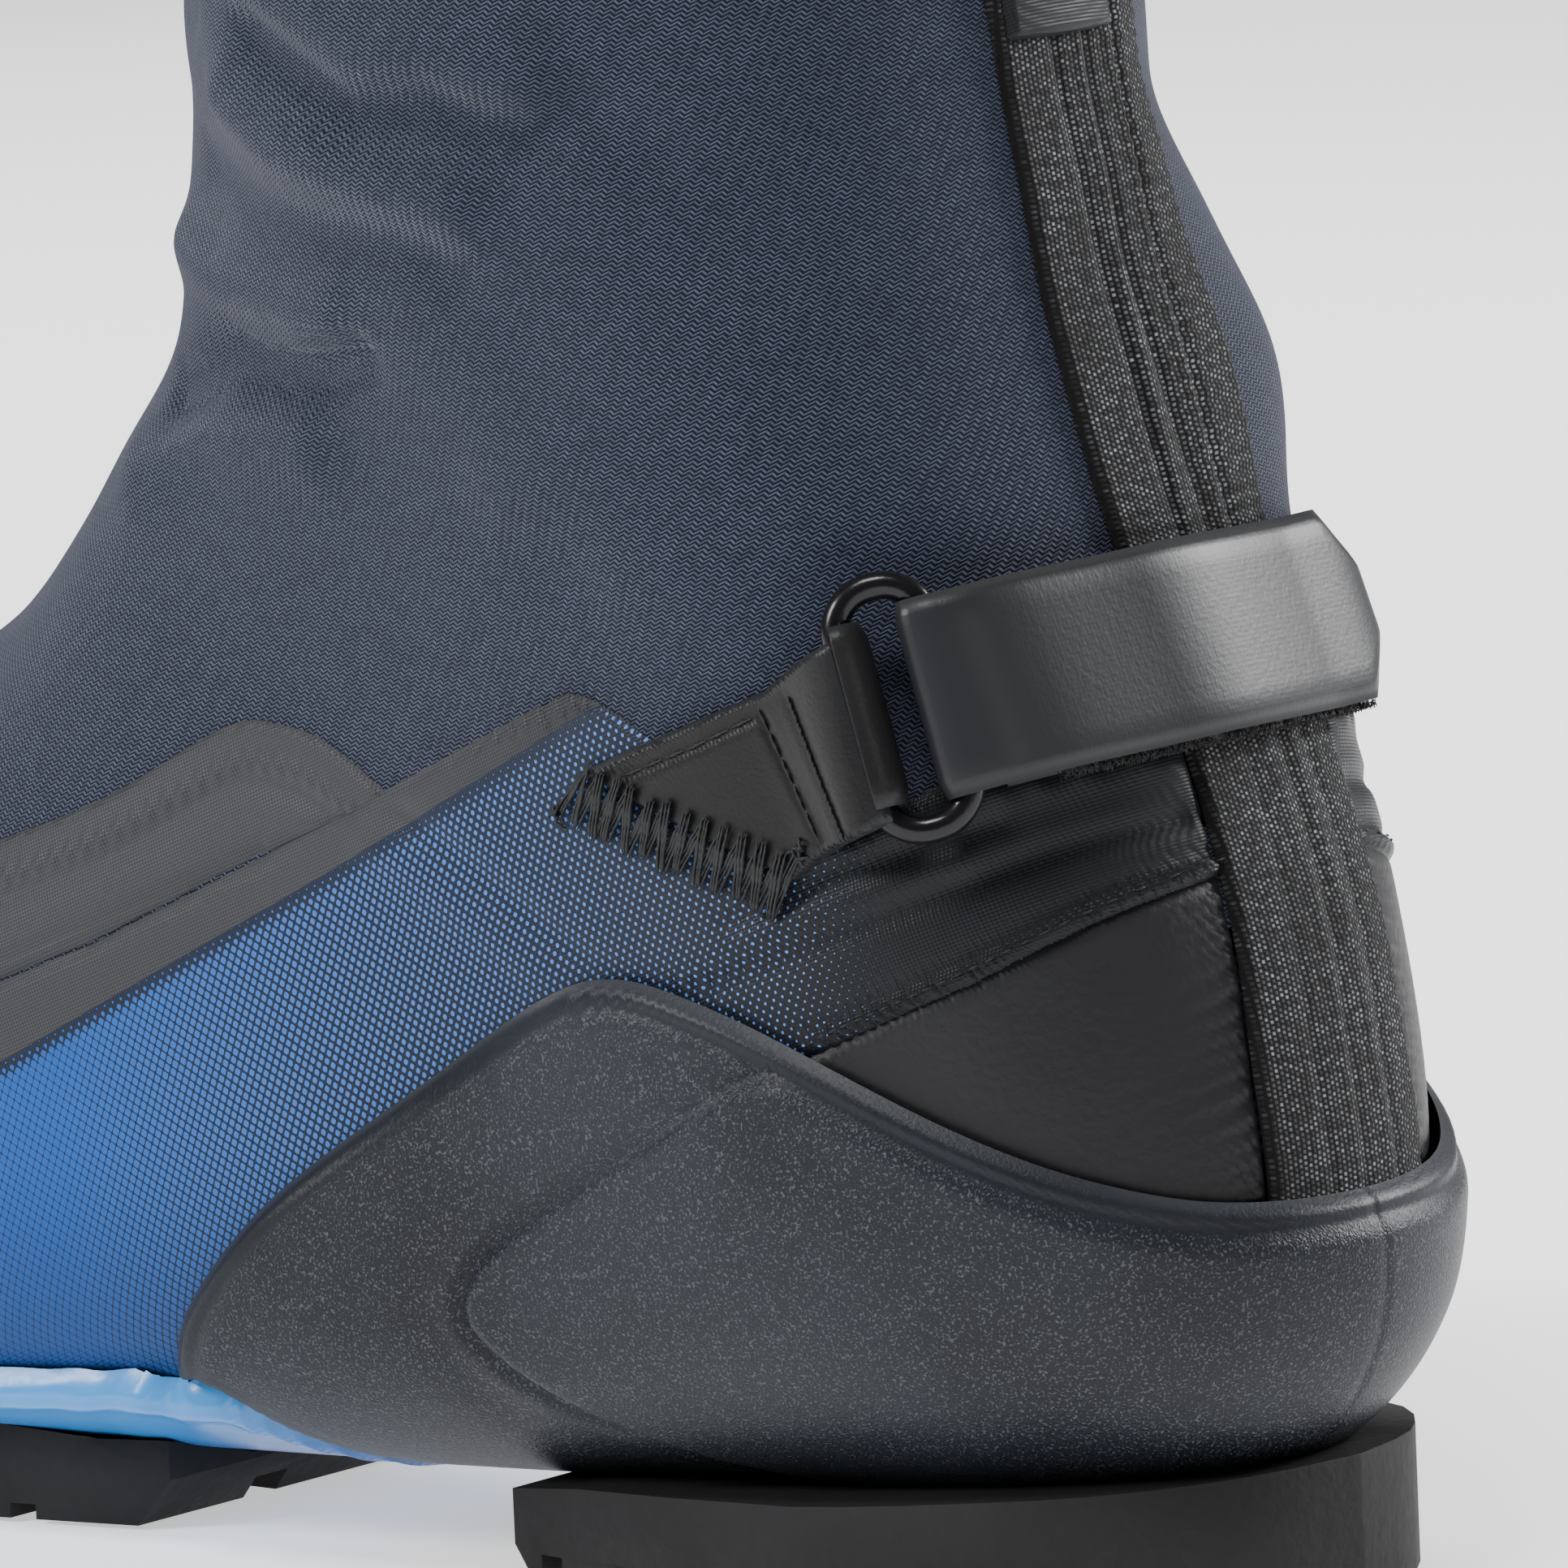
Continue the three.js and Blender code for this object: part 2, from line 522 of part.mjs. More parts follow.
// ---- outsole and the bar that the binding holds ----
const foreOuter = [[96, 30], [130, 37], [165, 42.5], [200, 42], [232, 31], [252, 14], [262, -7]];
const foreInner = [[262, -8], [254, -28], [236, -42], [205, -47], [165, -45], [130, -37], [96, -29]];
const foreSide = [
  [96, 12], [96, 5], [100, 0], [248, 0], [264, 5], [268, 20], [240, 14], [215, 10], [150, 8],
];
const heelOuter = [[50, 29], [25, 32], [0, 32.5], [-20, 27], [-32, 14], [-36, 0]];
const heelInner = [[-36, -0.5], [-32, -14], [-20, -27], [0, -32], [25, -30.5], [50, -28]];
const heelSide = [[-40, 15], [-40, 7], [-34, 0], [48, 0], [54, 8], [40, 9.5], [10, 11], [-12, 13]];

// The tread of one outsole: two long grooves, and short cross grooves at both edges.
function tread(x0, x1, first, pitch, depth) {
  const { grooveY, grooveWidth, grooveDepth, barWidth, barInside } = sole;
  const cuts = [-1, 1].map((side) => {
    const middle = side * grooveY;
    return box(x0, x1, middle - grooveWidth / 2, middle + grooveWidth / 2, -1, grooveDepth);
  });
  for (let x = first; x < x1 - pitch / 2; x += pitch) {
    cuts.push(box(x, x + barWidth, barInside, 60, -1, depth), box(x, x + barWidth, -60, -barInside, -1, depth));
  }
  return cuts;
}

function groundContact() {
  const underForm = form(layers.shell[1] + gap);
  const { x, y, z, radius, halfLength, holderHalf, windowHalf } = toeBar;
  const mouth = box(x, 300, y - windowHalf, y + windowHalf, -5, 10);
  const forePlan = [...smooth(foreOuter, 20), ...smooth(foreInner, 20)];
  const fore = planPrism(forePlan, -1, 22).intersect(sidePrism(foreSide, -80, 80));
  const foreCuts = tread(60, 232, 112, 14, 1.6);
  add('outsole_forefoot', cutAll(fore, underForm, ...foreCuts, toePocket(30), mouth), rubber);

  const heelPlan = [...smooth(heelOuter, 16), ...smooth(heelInner, 16)];
  const heel = planPrism(heelPlan, -1, 18).intersect(sidePrism(heelSide, -80, 80));
  add('outsole_heel', cutAll(heel, underForm, ...tread(10, 60, -22, 13, 2)), rubber);

  const at = (side, length) => new THREE.Vector3(x, y + side * length, z);
  const holder = box(x - 8, x + 8, y - holderHalf, y + holderHalf, 1.2, 11.4);
  const window = box(x - 4.5, x + 20, y - windowHalf, y + windowHalf, -1, 10);
  const bore = rod(at(-1, halfLength + 0.4), at(1, halfLength + 0.4), radius + gap, 12);
  add('bar_holder', cutAll(holder, window, bore, form(layers.film[1] + gap)), hardPlastic);
  add('toe_bar', rod(at(-1, halfLength), at(1, halfLength), radius, 12), steel);
}

// ---- the heel strap ----
// The strap lies in a plane that dips to the front. This finds the last's section where
// the plane, raised by `across`, meets it.
function strapSection(around, across) {
  const tilt = THREE.MathUtils.degToRad(strap.tilt);
  let [low, high] = [8, 15];
  for (let k = 0; k < 30; k++) {
    const t = (low + high) / 2;
    const p = onLast(t, around);
    const height = (p.x - strap.backX) * Math.sin(tilt) + (p.z - strap.backZ) * Math.cos(tilt) - across;
    if (height < 0) low = t; else high = t;
  }
  return low;
}

function strapPoint(degrees, across, off) {
  const around = THREE.MathUtils.degToRad(degrees);
  return offLast(strapSection(around, across), around, off);
}

// A band of the strap between two angles; `lift` gives the height of its underside.
function band(from, to, steps, half, lift, thick) {
  const positions = [];
  const faces = [];
  for (let i = 0; i <= steps; i++) {
    const at = from + ((to - from) * i) / steps;
    const under = lift(at);
    const corners = [[-half, under], [half, under], [half, under + thick], [-half, under + thick]];
    corners.forEach(([across, off]) => positions.push(...strapPoint(at, across, off).toArray()));
    if (i === 0) continue;
    const [a, b] = [4 * (i - 1), 4 * i];
    for (let k = 0; k < 4; k++) {
      const n = (k + 1) % 4;
      faces.push(a + k, b + k, b + n, a + k, b + n, a + n);
    }
  }
  const end = 4 * steps;
  faces.push(0, 1, 2, 0, 2, 3, end, end + 2, end + 1, end, end + 3, end + 2);
  if (to < from) faces.reverse();
  const geometry = new THREE.BufferGeometry();
  geometry.setAttribute('position', new THREE.Float32BufferAttribute(positions, 3));
  geometry.setIndex(faces);
  return solid(geometry);
}

// The ring's frame: local +X runs along the strap to its far bar at the back, local +Y
// up along the bars, local +Z out from the boot.
const ringFrame = new THREE.Group();
{
  const spot = (turn, rise) => strapPoint(ring.angle + turn, 0, ring.lift + rise);
  const centre = spot(0, 0);
  const toBack = spot(-8, 0).sub(spot(8, 0)).normalize();
  const out = spot(0, 1).sub(centre).normalize();
  const up = new THREE.Vector3().crossVectors(out, toBack).normalize();
  out.crossVectors(toBack, up);
  ringFrame.position.copy(centre);
  ringFrame.quaternion.setFromRotationMatrix(new THREE.Matrix4().makeBasis(toBack, up, out));
  ringFrame.updateMatrixWorld(true);
  boot.add(ringFrame);
}

// An open fold around a bar: a wall of `thick` at the stated inner radius.
function fold(x, inner, thick, half, from, to) {
  const shape = new THREE.Shape();
  shape.absarc(x, 0, inner + thick, from, to, false);
  shape.absarc(x, 0, inner, to, from, true);
  const options = { depth: 2 * half, bevelEnabled: false, curveSegments: 10 };
  const geometry = new THREE.ExtrudeGeometry(shape, options);
  geometry.rotateX(Math.PI / 2);
  geometry.translate(0, half, 0);
  return solid(geometry);
}

function place(shape, frame) {
  const geometry = geometryOf(shape);
  geometry.applyMatrix4(frame.matrixWorld);
  return solid(geometry);
}

const strapRun = { from: 40, to: -84, under: 1.9 };
const strapEnd = { from: 44.5, to: -27, under: 3.7, rise: 3.3, riseFrom: 24, riseTo: 40 };
const tabArea = [
  [31, 80.4], [28.4, 87.2], [16.3, 89.6], [4.3, 95.4], [-2.6, 99.3], [-9.8, 81.4], [-1.1, 75.8], [2.8, 71.3],
];
const patchArea = [[11, 74], [15.5, 97.5], [36, 90], [33, 68]];

// A rectangle of wire in the ring's frame; the stated size is to the middle of the wire.
function wireLoop(halfWide, halfHigh) {
  const { wire, chamfer } = ring;
  const corners = (w, h) => [[-w, -h], [w, -h], [w, h], [-w, h]].map(([x, y]) => new THREE.Vector2(x, y));
  const flat = wire / 2 - chamfer;
  const shape = new THREE.Shape(corners(halfWide + flat, halfHigh + flat));
  shape.holes.push(new THREE.Path(corners(halfWide - flat, halfHigh - flat)));
  const options = {
    depth: wire - 2 * chamfer, bevelThickness: chamfer, bevelSize: chamfer, bevelSegments: 1,
  };
  return solid(new THREE.ExtrudeGeometry(shape, options).translate(0, 0, chamfer - wire / 2));
}

function heelStrap() {
  const reach = ring.spacing / 2;
  add('strap_ring', wireLoop(reach, (ring.inside + ring.wire) / 2), blackWire, ringFrame);

  const { half, thick } = strap;
  const run = band(strapRun.from, strapRun.to, 22, half, () => strapRun.under, thick);
  add('strap_run', run, strapFace);

  const { from, to, under, rise, riseFrom, riseTo } = strapEnd;
  const lift = (at) => under + rise * THREE.MathUtils.smoothstep(at, riseFrom, riseTo);
  const wrap = fold(reach, ring.foldInner, thick, half, Math.PI / 2 - 0.5, 1.5 * Math.PI - 0.25);
  add('strap_end', place(wrap, ringFrame).add(band(from, to, 14, half, lift, thick)), strapFace);

  const tab = layer(layers.tab).intersect(sidePrism(tabArea, 0, 80));
  const tabWrap = place(fold(-reach, ring.foldInner, 1.3, 9.2, 0, 2 * Math.PI), ringFrame);
  add('strap_anchor_tab', tab.add(tabWrap), suede);

  add('strap_patch_medial', layer(layers.patch).intersect(sidePrism(patchArea, -80, 0)), suede);
}

// ---- pull loop ----
function pullLoop() {
  const [leg, outer, thick] = [20, 3.8, 1.3];
  const shape = new THREE.Shape();
  shape.moveTo(-outer, 0).lineTo(outer, 0).lineTo(outer, leg);
  shape.absarc(0, leg, outer, 0, Math.PI, false);
  const hole = new THREE.Path();
  hole.moveTo(outer - thick, 4).lineTo(outer - thick, leg);
  hole.absarc(0, leg, outer - thick, 0, Math.PI, false);
  hole.lineTo(thick - outer, 4);
  shape.holes.push(hole);
  const geometry = new THREE.ExtrudeGeometry(shape, { depth: 14, bevelEnabled: false, curveSegments: 8 });
  geometry.rotateX(Math.PI / 2);
  geometry.translate(-7.5, 7, 164);
  add('pull_loop', solid(geometry), webbing);
}

upper();
inside();
lacing();
laceLock();
zipper();
panels();
hardShell();
groundContact();
heelStrap();
pullLoop();

export default boot;
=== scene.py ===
import math
import bmesh
import bpy
import numpy as np
from mathutils import Matrix, Vector


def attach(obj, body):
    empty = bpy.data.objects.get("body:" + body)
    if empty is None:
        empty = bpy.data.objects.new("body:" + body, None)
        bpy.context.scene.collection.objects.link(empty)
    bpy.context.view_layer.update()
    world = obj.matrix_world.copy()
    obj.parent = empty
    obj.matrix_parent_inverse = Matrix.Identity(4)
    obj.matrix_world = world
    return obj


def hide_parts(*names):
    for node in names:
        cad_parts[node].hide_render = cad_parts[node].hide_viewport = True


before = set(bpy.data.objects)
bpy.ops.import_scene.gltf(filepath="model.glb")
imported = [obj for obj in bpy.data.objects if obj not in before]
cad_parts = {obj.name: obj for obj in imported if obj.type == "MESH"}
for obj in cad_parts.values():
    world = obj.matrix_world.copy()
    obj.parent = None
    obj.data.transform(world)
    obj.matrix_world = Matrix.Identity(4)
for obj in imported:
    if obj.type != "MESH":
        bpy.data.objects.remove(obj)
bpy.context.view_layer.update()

mm = 0.001
rng = np.random.default_rng(7)

cameraLook = {"side": 40, "up": 8.5, "roll": -2.5, "distance": 1.4, "perMm": 12.5,
              "point": (-0.038, 0, 0.035), "at": (1685, 1545), "frame": 1932, "sensor": 36}


def placed(name, data):
    piece = bpy.data.objects.new(name, data)
    bpy.context.scene.collection.objects.link(piece)
    return piece


def makeCamera():
    c = cameraLook
    side, up, roll = (math.radians(c[k]) for k in ("side", "up", "roll"))
    ahead = -Vector((-math.sin(side) * math.cos(up), math.cos(side) * math.cos(up), math.sin(up)))
    right = Vector((-math.cos(side), -math.sin(side), 0))
    above = right.cross(ahead)
    cosine, sine = math.cos(roll), math.sin(roll)
    right, above = right * cosine + above * sine, above * cosine - right * sine
    half = c["frame"] / 2
    offX = (c["at"][0] - half) / c["perMm"] * mm
    offY = (half - c["at"][1]) / c["perMm"] * mm
    place = Vector(c["point"]) - right * offX - above * offY - ahead * c["distance"]
    data = bpy.data.cameras.new("camera")
    data.sensor_width = c["sensor"]
    data.lens = c["sensor"] * c["distance"] / mm * c["perMm"] / c["frame"]
    data.clip_start, data.clip_end = 0.05, 20
    camera = placed("camera", data)
    turn = Matrix((right, above, -ahead)).transposed().to_4x4()
    camera.matrix_world = Matrix.Translation(place) @ turn
    bpy.context.scene.camera = camera


makeCamera()
print("camera set")

# the last, the boot's outer form: one row for each section from toe to collar
# back or sole point x, z; front point x, z; half width; shift; squareness low and high
lastRows = np.array([
    [259, 20, 260, 28, 8, -7, 3.0, 3.0],
    [252, 15, 254, 44, 26, -7, 4.0, 3.0],
    [238, 11, 240, 55, 38, -6, 6.0, 2.8],
    [214, 9, 216, 62, 46, -4, 8.0, 2.4],
    [181, 8, 184, 70, 48.5, -2, 8.0, 2.0],
    [146, 8, 152, 81, 45, 0, 8.0, 1.9],
    [106, 9, 125, 95, 41, 1, 7.0, 1.9],
    [62, 10, 111, 113, 38.5, 1, 6.0, 1.9],
    [17, 12, 104.5, 127, 37.5, 0, 5.0, 1.9],
    [-20, 15, 103, 141, 38, 0, 3.6, 1.95],
    [-36, 31, 102.1, 149, 39, 0, 3.0, 2.0],
    [-34, 60, 101.4, 155, 40, 0, 2.8, 2.05],
    [-24.5, 86, 100.8, 161, 41.5, 0, 2.6, 2.1],
    [-15, 110, 100.1, 167, 42.5, 0, 2.4, 2.1],
    [-8.5, 132, 99.3, 174, 43, 0, 2.3, 2.1],
    [-5, 150, 98.6, 181, 43.5, 0, 2.3, 2.1],
    [-2, 168, 97.6, 190, 44, 0, 2.3, 2.1],
], float)
collar = len(lastRows) - 1
pi = math.pi


def sectionAt(t):
    t = np.asarray(t, float)
    inside = np.clip(t, 0, collar - 1e-9)
    i = np.floor(inside).astype(int)
    f = (inside - i)[..., None]
    p1, p2 = lastRows[i], lastRows[i + 1]
    p0 = np.where((i == 0)[..., None], 2 * p1 - p2, lastRows[np.maximum(i - 1, 0)])
    p3 = np.where((i == collar - 1)[..., None], 2 * p2 - p1, lastRows[np.minimum(i + 2, collar)])
    bend = (2 * p0 - 5 * p1 + 4 * p2 - p3) * f ** 2 + (3 * (p1 - p2) + p3 - p0) * f ** 3
    over = np.maximum(t - collar, 0)[..., None]
    return 0.5 * (2 * p1 + (p2 - p0) * f + bend) + over * (lastRows[collar] - lastRows[collar - 1])


def onLast(t, a):
    s = sectionAt(t)
    c = np.cos(a)
    along = -np.sign(c) * np.abs(c) ** (2 / np.where(c > 0, s[..., 6], s[..., 7]))
    x = (s[..., 0] + s[..., 2] + (s[..., 2] - s[..., 0]) * along) / 2
    z = (s[..., 1] + s[..., 3] + (s[..., 3] - s[..., 1]) * along) / 2
    return np.stack([x, s[..., 5] + s[..., 4] * np.sin(a), z], -1)


def unit(v):
    return v / np.maximum(np.linalg.norm(v, axis=-1, keepdims=True), 1e-12)


def normalAt(t, a):
    d = 0.03
    up = onLast(t + d, a) - onLast(np.maximum(t - d, 0), a)
    return unit(np.cross(up, onLast(t, a + d) - onLast(t, a - d)))


# The place (t, a) on the last behind a side-view point x, z; side is 1 outer, -1 inner.
def onSide(x, z, side=1):
    x, z = np.asarray(x, float), np.asarray(z, float)
    low, high = np.zeros_like(x), np.full_like(x, collar + 1.0)
    for _ in range(40):
        middle = (low + high) / 2
        s = sectionAt(middle)
        past = (s[..., 2] - s[..., 0]) * (z - s[..., 1]) - (s[..., 3] - s[..., 1]) * (x - s[..., 0]) > 0
        low, high = np.where(past, middle, low), np.where(past, high, middle)
    s = sectionAt(low)
    hx, hz = (s[..., 2] - s[..., 0]) / 2, (s[..., 3] - s[..., 1]) / 2
    along = ((x - s[..., 0] - hx) * hx + (z - s[..., 1] - hz) * hz) / (hx ** 2 + hz ** 2)
    along = np.clip(along, -1, 1)
    c = -np.sign(along) * np.abs(along) ** (np.where(along < 0, s[..., 6], s[..., 7]) / 2)
    return low, side * np.arccos(c)


def smoothstep(x, low, high):
    f = np.clip((x - low) / (high - low), 0, 1)
    return f * f * (3 - 2 * f)


# folds of the softshell sleeve: a line in the side view, its height and width, in mm
foldLines = [
    ([(66, 157), (51, 149.5), (40, 151), (33, 148.6), (28, 148.2), (22.8, 149.5), (16.8, 146.2)],
     -1.9, 3.0),
    ([(66, 163), (48, 156), (30, 154)], 1.9, 4.5),
    ([(72, 150), (64.9, 147), (49.5, 143.4), (37.7, 141)], 2.3, 4.2),
    ([(84, 142), (74, 140), (57.2, 137.4), (44.7, 136.5), (39.4, 134.7)], -1.1, 3.2),
    ([(92, 133), (83.2, 130.6), (68.5, 129.6), (57.4, 128.2)], 2.3, 4.2),
    ([(93, 117.5), (88, 119), (80.4, 122.6), (73.5, 121.6), (65.3, 121.6), (55, 125)], -2.7, 2.7),
    ([(98, 110), (84, 114), (66, 115)], 2.0, 4.5),
    ([(100, 171), (92, 165), (84, 160)], -2.4, 4.5),
    ([(10, 121), (34, 113)], 0.8, 5.0), ([(2, 108), (20, 104)], 0.8, 4.0),
    ([(30, 128), (12, 136), (2, 150)], -0.7, 5.0),
]
heelPillow = {"height": 5.4, "angle": -0.72, "spread": 0.45, "z": 120, "reach": 17}


def foldHeight(p, a):
    total = np.zeros(p.shape[:-1])
    x, z = p[..., 0], p[..., 2]
    for line, height, width in foldLines:
        total += height * np.exp(-(lineDistance(x, z, line) / width) ** 2)
    ripple = 0.3 * np.sin(x * 0.17 + 1.3 * np.sin(z * 0.09)) * np.sin(z * 0.21 + 0.6 * np.sin(a * 3))
    onSleeve = smoothstep(z, 96, 112) * smoothstep(190 - z + 0.22 * (x - 98), 2, 12)
    k = heelPillow
    turn = (np.asarray(a) + pi) % (2 * pi) - pi
    away = ((turn - k["angle"]) / k["spread"]) ** 2 + ((z - k["z"]) / k["reach"]) ** 2
    pillow = k["height"] * np.exp(-away)
    total = total * smoothstep(z, 84, 104) + ripple * onSleeve + pillow
    # valleys level out before they reach the inner boot
    return -1.15 + 0.3 * np.logaddexp(0, (total + 1.15) / 0.3)


def smoothCurve(points, count=12):
    p = np.array(points, float)
    q = np.vstack([2 * p[0] - p[1], p, 2 * p[-1] - p[-2]])
    out = []
    for i in range(1, len(q) - 2):
        f = np.linspace(0, 1, count, endpoint=False)[:, None]
        a, b, c, d = q[i - 1], q[i], q[i + 1], q[i + 2]
        bend = (2 * a - 5 * b + 4 * c - d) * f ** 2 + (3 * (b - c) + d - a) * f ** 3
        out.append(0.5 * (2 * b + (c - a) * f + bend))
    return np.vstack(out + [p[-1:]])


def lineDistance(x, z, line):
    best = np.full(x.shape, 1e9)
    for (x0, z0), (x1, z1) in zip(line[:-1], line[1:]):
        dx, dz = x1 - x0, z1 - z0
        along = np.clip(((x - x0) * dx + (z - z0) * dz) / max(dx * dx + dz * dz, 1e-9), 0, 1)
        best = np.minimum(best, np.hypot(x - x0 - along * dx, z - z0 - along * dz))
    return best


# Distance to an outline in the side view, positive inside it.
def depthIn(x, z, outline):
    loop = np.vstack([outline, outline[:1]])
    inside = np.zeros(x.shape, bool)
    for (x0, z0), (x1, z1) in zip(loop[:-1], loop[1:]):
        crosses = (z0 > z) != (z1 > z)
        with np.errstate(divide="ignore", invalid="ignore"):
            inside ^= crosses & (x < (x1 - x0) * (z - z0) / (z1 - z0) + x0)
    return np.where(inside, 1, -1) * lineDistance(x, z, loop)


# a grid on the last, step mm fine; u and v are its lengths in mm, from the back seam and the collar
sectionGap, lastRadius = 27, 46  # mean mm for one step of t and for one radian


def layOut(tFrom, tTo, aFrom, aTo, step):
    rows = max(int((tTo - tFrom) * sectionGap / step), 4)
    columns = max(int((aTo - aFrom) * lastRadius / step), 4)
    t, a = np.meshgrid(np.linspace(tFrom, tTo, rows), np.linspace(aFrom, aTo, columns), indexing="ij")
    # boxy sections run fast past their sides, so the columns crowd there
    s, w = sectionAt(t), np.cos(a)
    power = np.where(w > 0, s[..., 6], s[..., 7]) / 4 + 0.5
    full = np.arccos(np.sign(w) * np.abs(w) ** power)
    a = np.sign(a) * np.where(np.abs(a) > pi, 2 * pi - full, full)
    p = onLast(t, a)
    back = np.abs(a).argmin(axis=1)[0]
    u = arcLength(np.linalg.norm(np.diff(p, axis=1), axis=2), 1)
    v = arcLength(np.linalg.norm(np.diff(p, axis=0), axis=2), 0)
    return {"t": t, "a": a, "u": u - u[:, back:back + 1], "v": v - v[-1:], "step": step}


def arcLength(steps, axis):
    start = np.zeros_like(np.take(steps, [0], axis))
    return np.concatenate([start, np.cumsum(steps, axis)], axis)


# Cloth that hangs: columns upright and rows level, whatever way the sections tilt.
def hung(grid, side):
    p = onLast(grid["t"], grid["a"])
    u = arcLength(np.hypot(*np.diff(p[..., :2], axis=1).transpose(2, 0, 1)), 1)
    beside = np.abs(np.abs(grid["a"][0]) - pi / 2).argmin()
    u = (u - u[:, beside:beside + 1]) * side + p[:, beside:beside + 1, 0]
    return {**grid, "u": u, "v": p[..., 2]}


def quads(rows, columns):
    index = np.arange(rows * columns).reshape(rows, columns)
    return np.stack([index[:-1, :-1], index[1:, :-1], index[1:, 1:], index[:-1, 1:]], -1).reshape(-1, 4)


# Cuts a grid where keep(place, angle) falls below nothing, and lifts what is left, in mm.
def trimmed(name, grid, keep, lift, material, flip=False):
    t, a, u, v = (grid[k].ravel() for k in "tauv")
    rows, columns = grid["t"].shape
    base = onLast(t, a)
    depth = keep(base, a)
    q = quads(rows, columns)
    whole = (depth[q] > 0).all(1)
    some = (depth[q] > 0).any(1) & ~whole
    tri = np.vstack([q[some][:, [0, 1, 2]], q[some][:, [0, 2, 3]]])
    inside = depth[tri] > 0
    count = inside.sum(1)
    faces = [tri[count == 3]]
    newPairs, cut = [], []
    for wanted, odd in ((1, True), (2, False)):
        chosen = tri[count == wanted]
        if not len(chosen):
            continue
        lead = np.argmax((depth[chosen] > 0) == odd, axis=1)
        n = np.arange(len(chosen))
        p, r, s = chosen[n, lead], chosen[n, (lead + 1) % 3], chosen[n, (lead + 2) % 3]
        cut.append((wanted, p, r, s))
        newPairs += [np.sort(np.stack([p, r], 1), 1), np.sort(np.stack([p, s], 1), 1)]
    fresh = {}
    if newPairs:
        pairs = np.unique(np.vstack(newPairs), axis=0)
        d0, d1 = depth[pairs[:, 0]], depth[pairs[:, 1]]
        share = d0 / (d0 - d1)
        mix = lambda values: values[pairs[:, 0]] * (1 - share) + values[pairs[:, 1]] * share
        start = len(t)
        t, a, u, v = (np.concatenate([values, mix(values)]) for values in (t, a, u, v))
        fresh = {tuple(pair): start + k for k, pair in enumerate(pairs)}
    find = lambda one, two: np.array([fresh[tuple(sorted(e))] for e in zip(one, two)], int)
    for wanted, p, r, s in cut:
        e, g = find(p, r), find(p, s)
        if wanted == 1:
            faces.append(np.stack([p, e, g], 1))
        else:
            faces += [np.stack([e, r, s], 1), np.stack([e, s, g], 1)]
    triangles = np.vstack(faces) if faces else np.zeros((0, 3), int)
    used = np.unique(np.concatenate([q[whole].ravel(), triangles.ravel()]))
    renumber = np.full(len(t), -1)
    renumber[used] = np.arange(len(used))
    t, a, u, v = t[used], a[used], u[used], v[used]

    def surface(t, a):
        base = onLast(t, a)
        depth = keep(base, a)
        return base + normalAt(t, a) * np.asarray(lift(base, a, depth))[:, None], depth

    points, depth = surface(t, a)
    up, turn = grid["step"] / sectionGap, grid["step"] / lastRadius
    climb = surface(t + up, a)[0] - surface(np.maximum(t - up, 0), a)[0]
    around = surface(t, a + turn)[0] - surface(t, a - turn)[0]
    normals = unit(np.cross(climb, around)) * (-1 if flip else 1)
    polygons = [list(f) for f in renumber[q[whole]]] + [list(f) for f in renumber[triangles]]
    if flip:
        polygons = [f[::-1] for f in polygons]
    piece = meshPiece(name, points, polygons, material, u, v, depth)
    if len(piece.data.vertices) == len(normals):
        piece.data.normals_split_custom_set_from_vertices(normals.tolist())
    return piece


def meshPiece(name, points, polygons, material, u=None, v=None, depth=None):
    mesh = bpy.data.meshes.new(name)
    mesh.from_pydata((np.asarray(points) * mm).tolist(), [], polygons)
    mesh.materials.append(material)
    if u is not None:
        layer = mesh.uv_layers.new(name="UVMap")
        corner = np.empty(len(mesh.loops), int)
        mesh.loops.foreach_get("vertex_index", corner)
        layer.data.foreach_set("uv", np.stack([u[corner] * mm, v[corner] * mm], 1).ravel())
    if depth is not None:
        attribute = mesh.attributes.new("edge", "FLOAT", "POINT")
        attribute.data.foreach_set("value", np.asarray(depth, np.float32))
    smooth(mesh)
    mesh.validate()
    return placed(name, mesh)


def smooth(mesh):
    mesh.polygons.foreach_set("use_smooth", np.ones(len(mesh.polygons), bool))


# Runs change on a bmesh of the piece, which then takes the result.
def reworked(piece, change):
    work = bmesh.new()
    work.from_mesh(piece.data)
    change(work)
    work.to_mesh(piece.data)
    work.free()
    return piece


# Rings of points, one after the other, joined into a tube: shut ends unless it closes on itself.
def tube(count, ringSize, closed=False):
    polygons = []
    for k in range(count if closed else count - 1):
        m = (k + 1) % count
        for j in range(ringSize):
            n = (j + 1) % ringSize
            polygons.append([k * ringSize + j, m * ringSize + j, m * ringSize + n, k * ringSize + n])
    if not closed:
        polygons.append(list(range(ringSize)))
        polygons.append([(count - 1) * ringSize + j for j in reversed(range(ringSize))])
    return polygons


def settle(piece, body, slot, *nodes):
    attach(piece, body)
    if nodes:
        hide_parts(*nodes)
    return piece


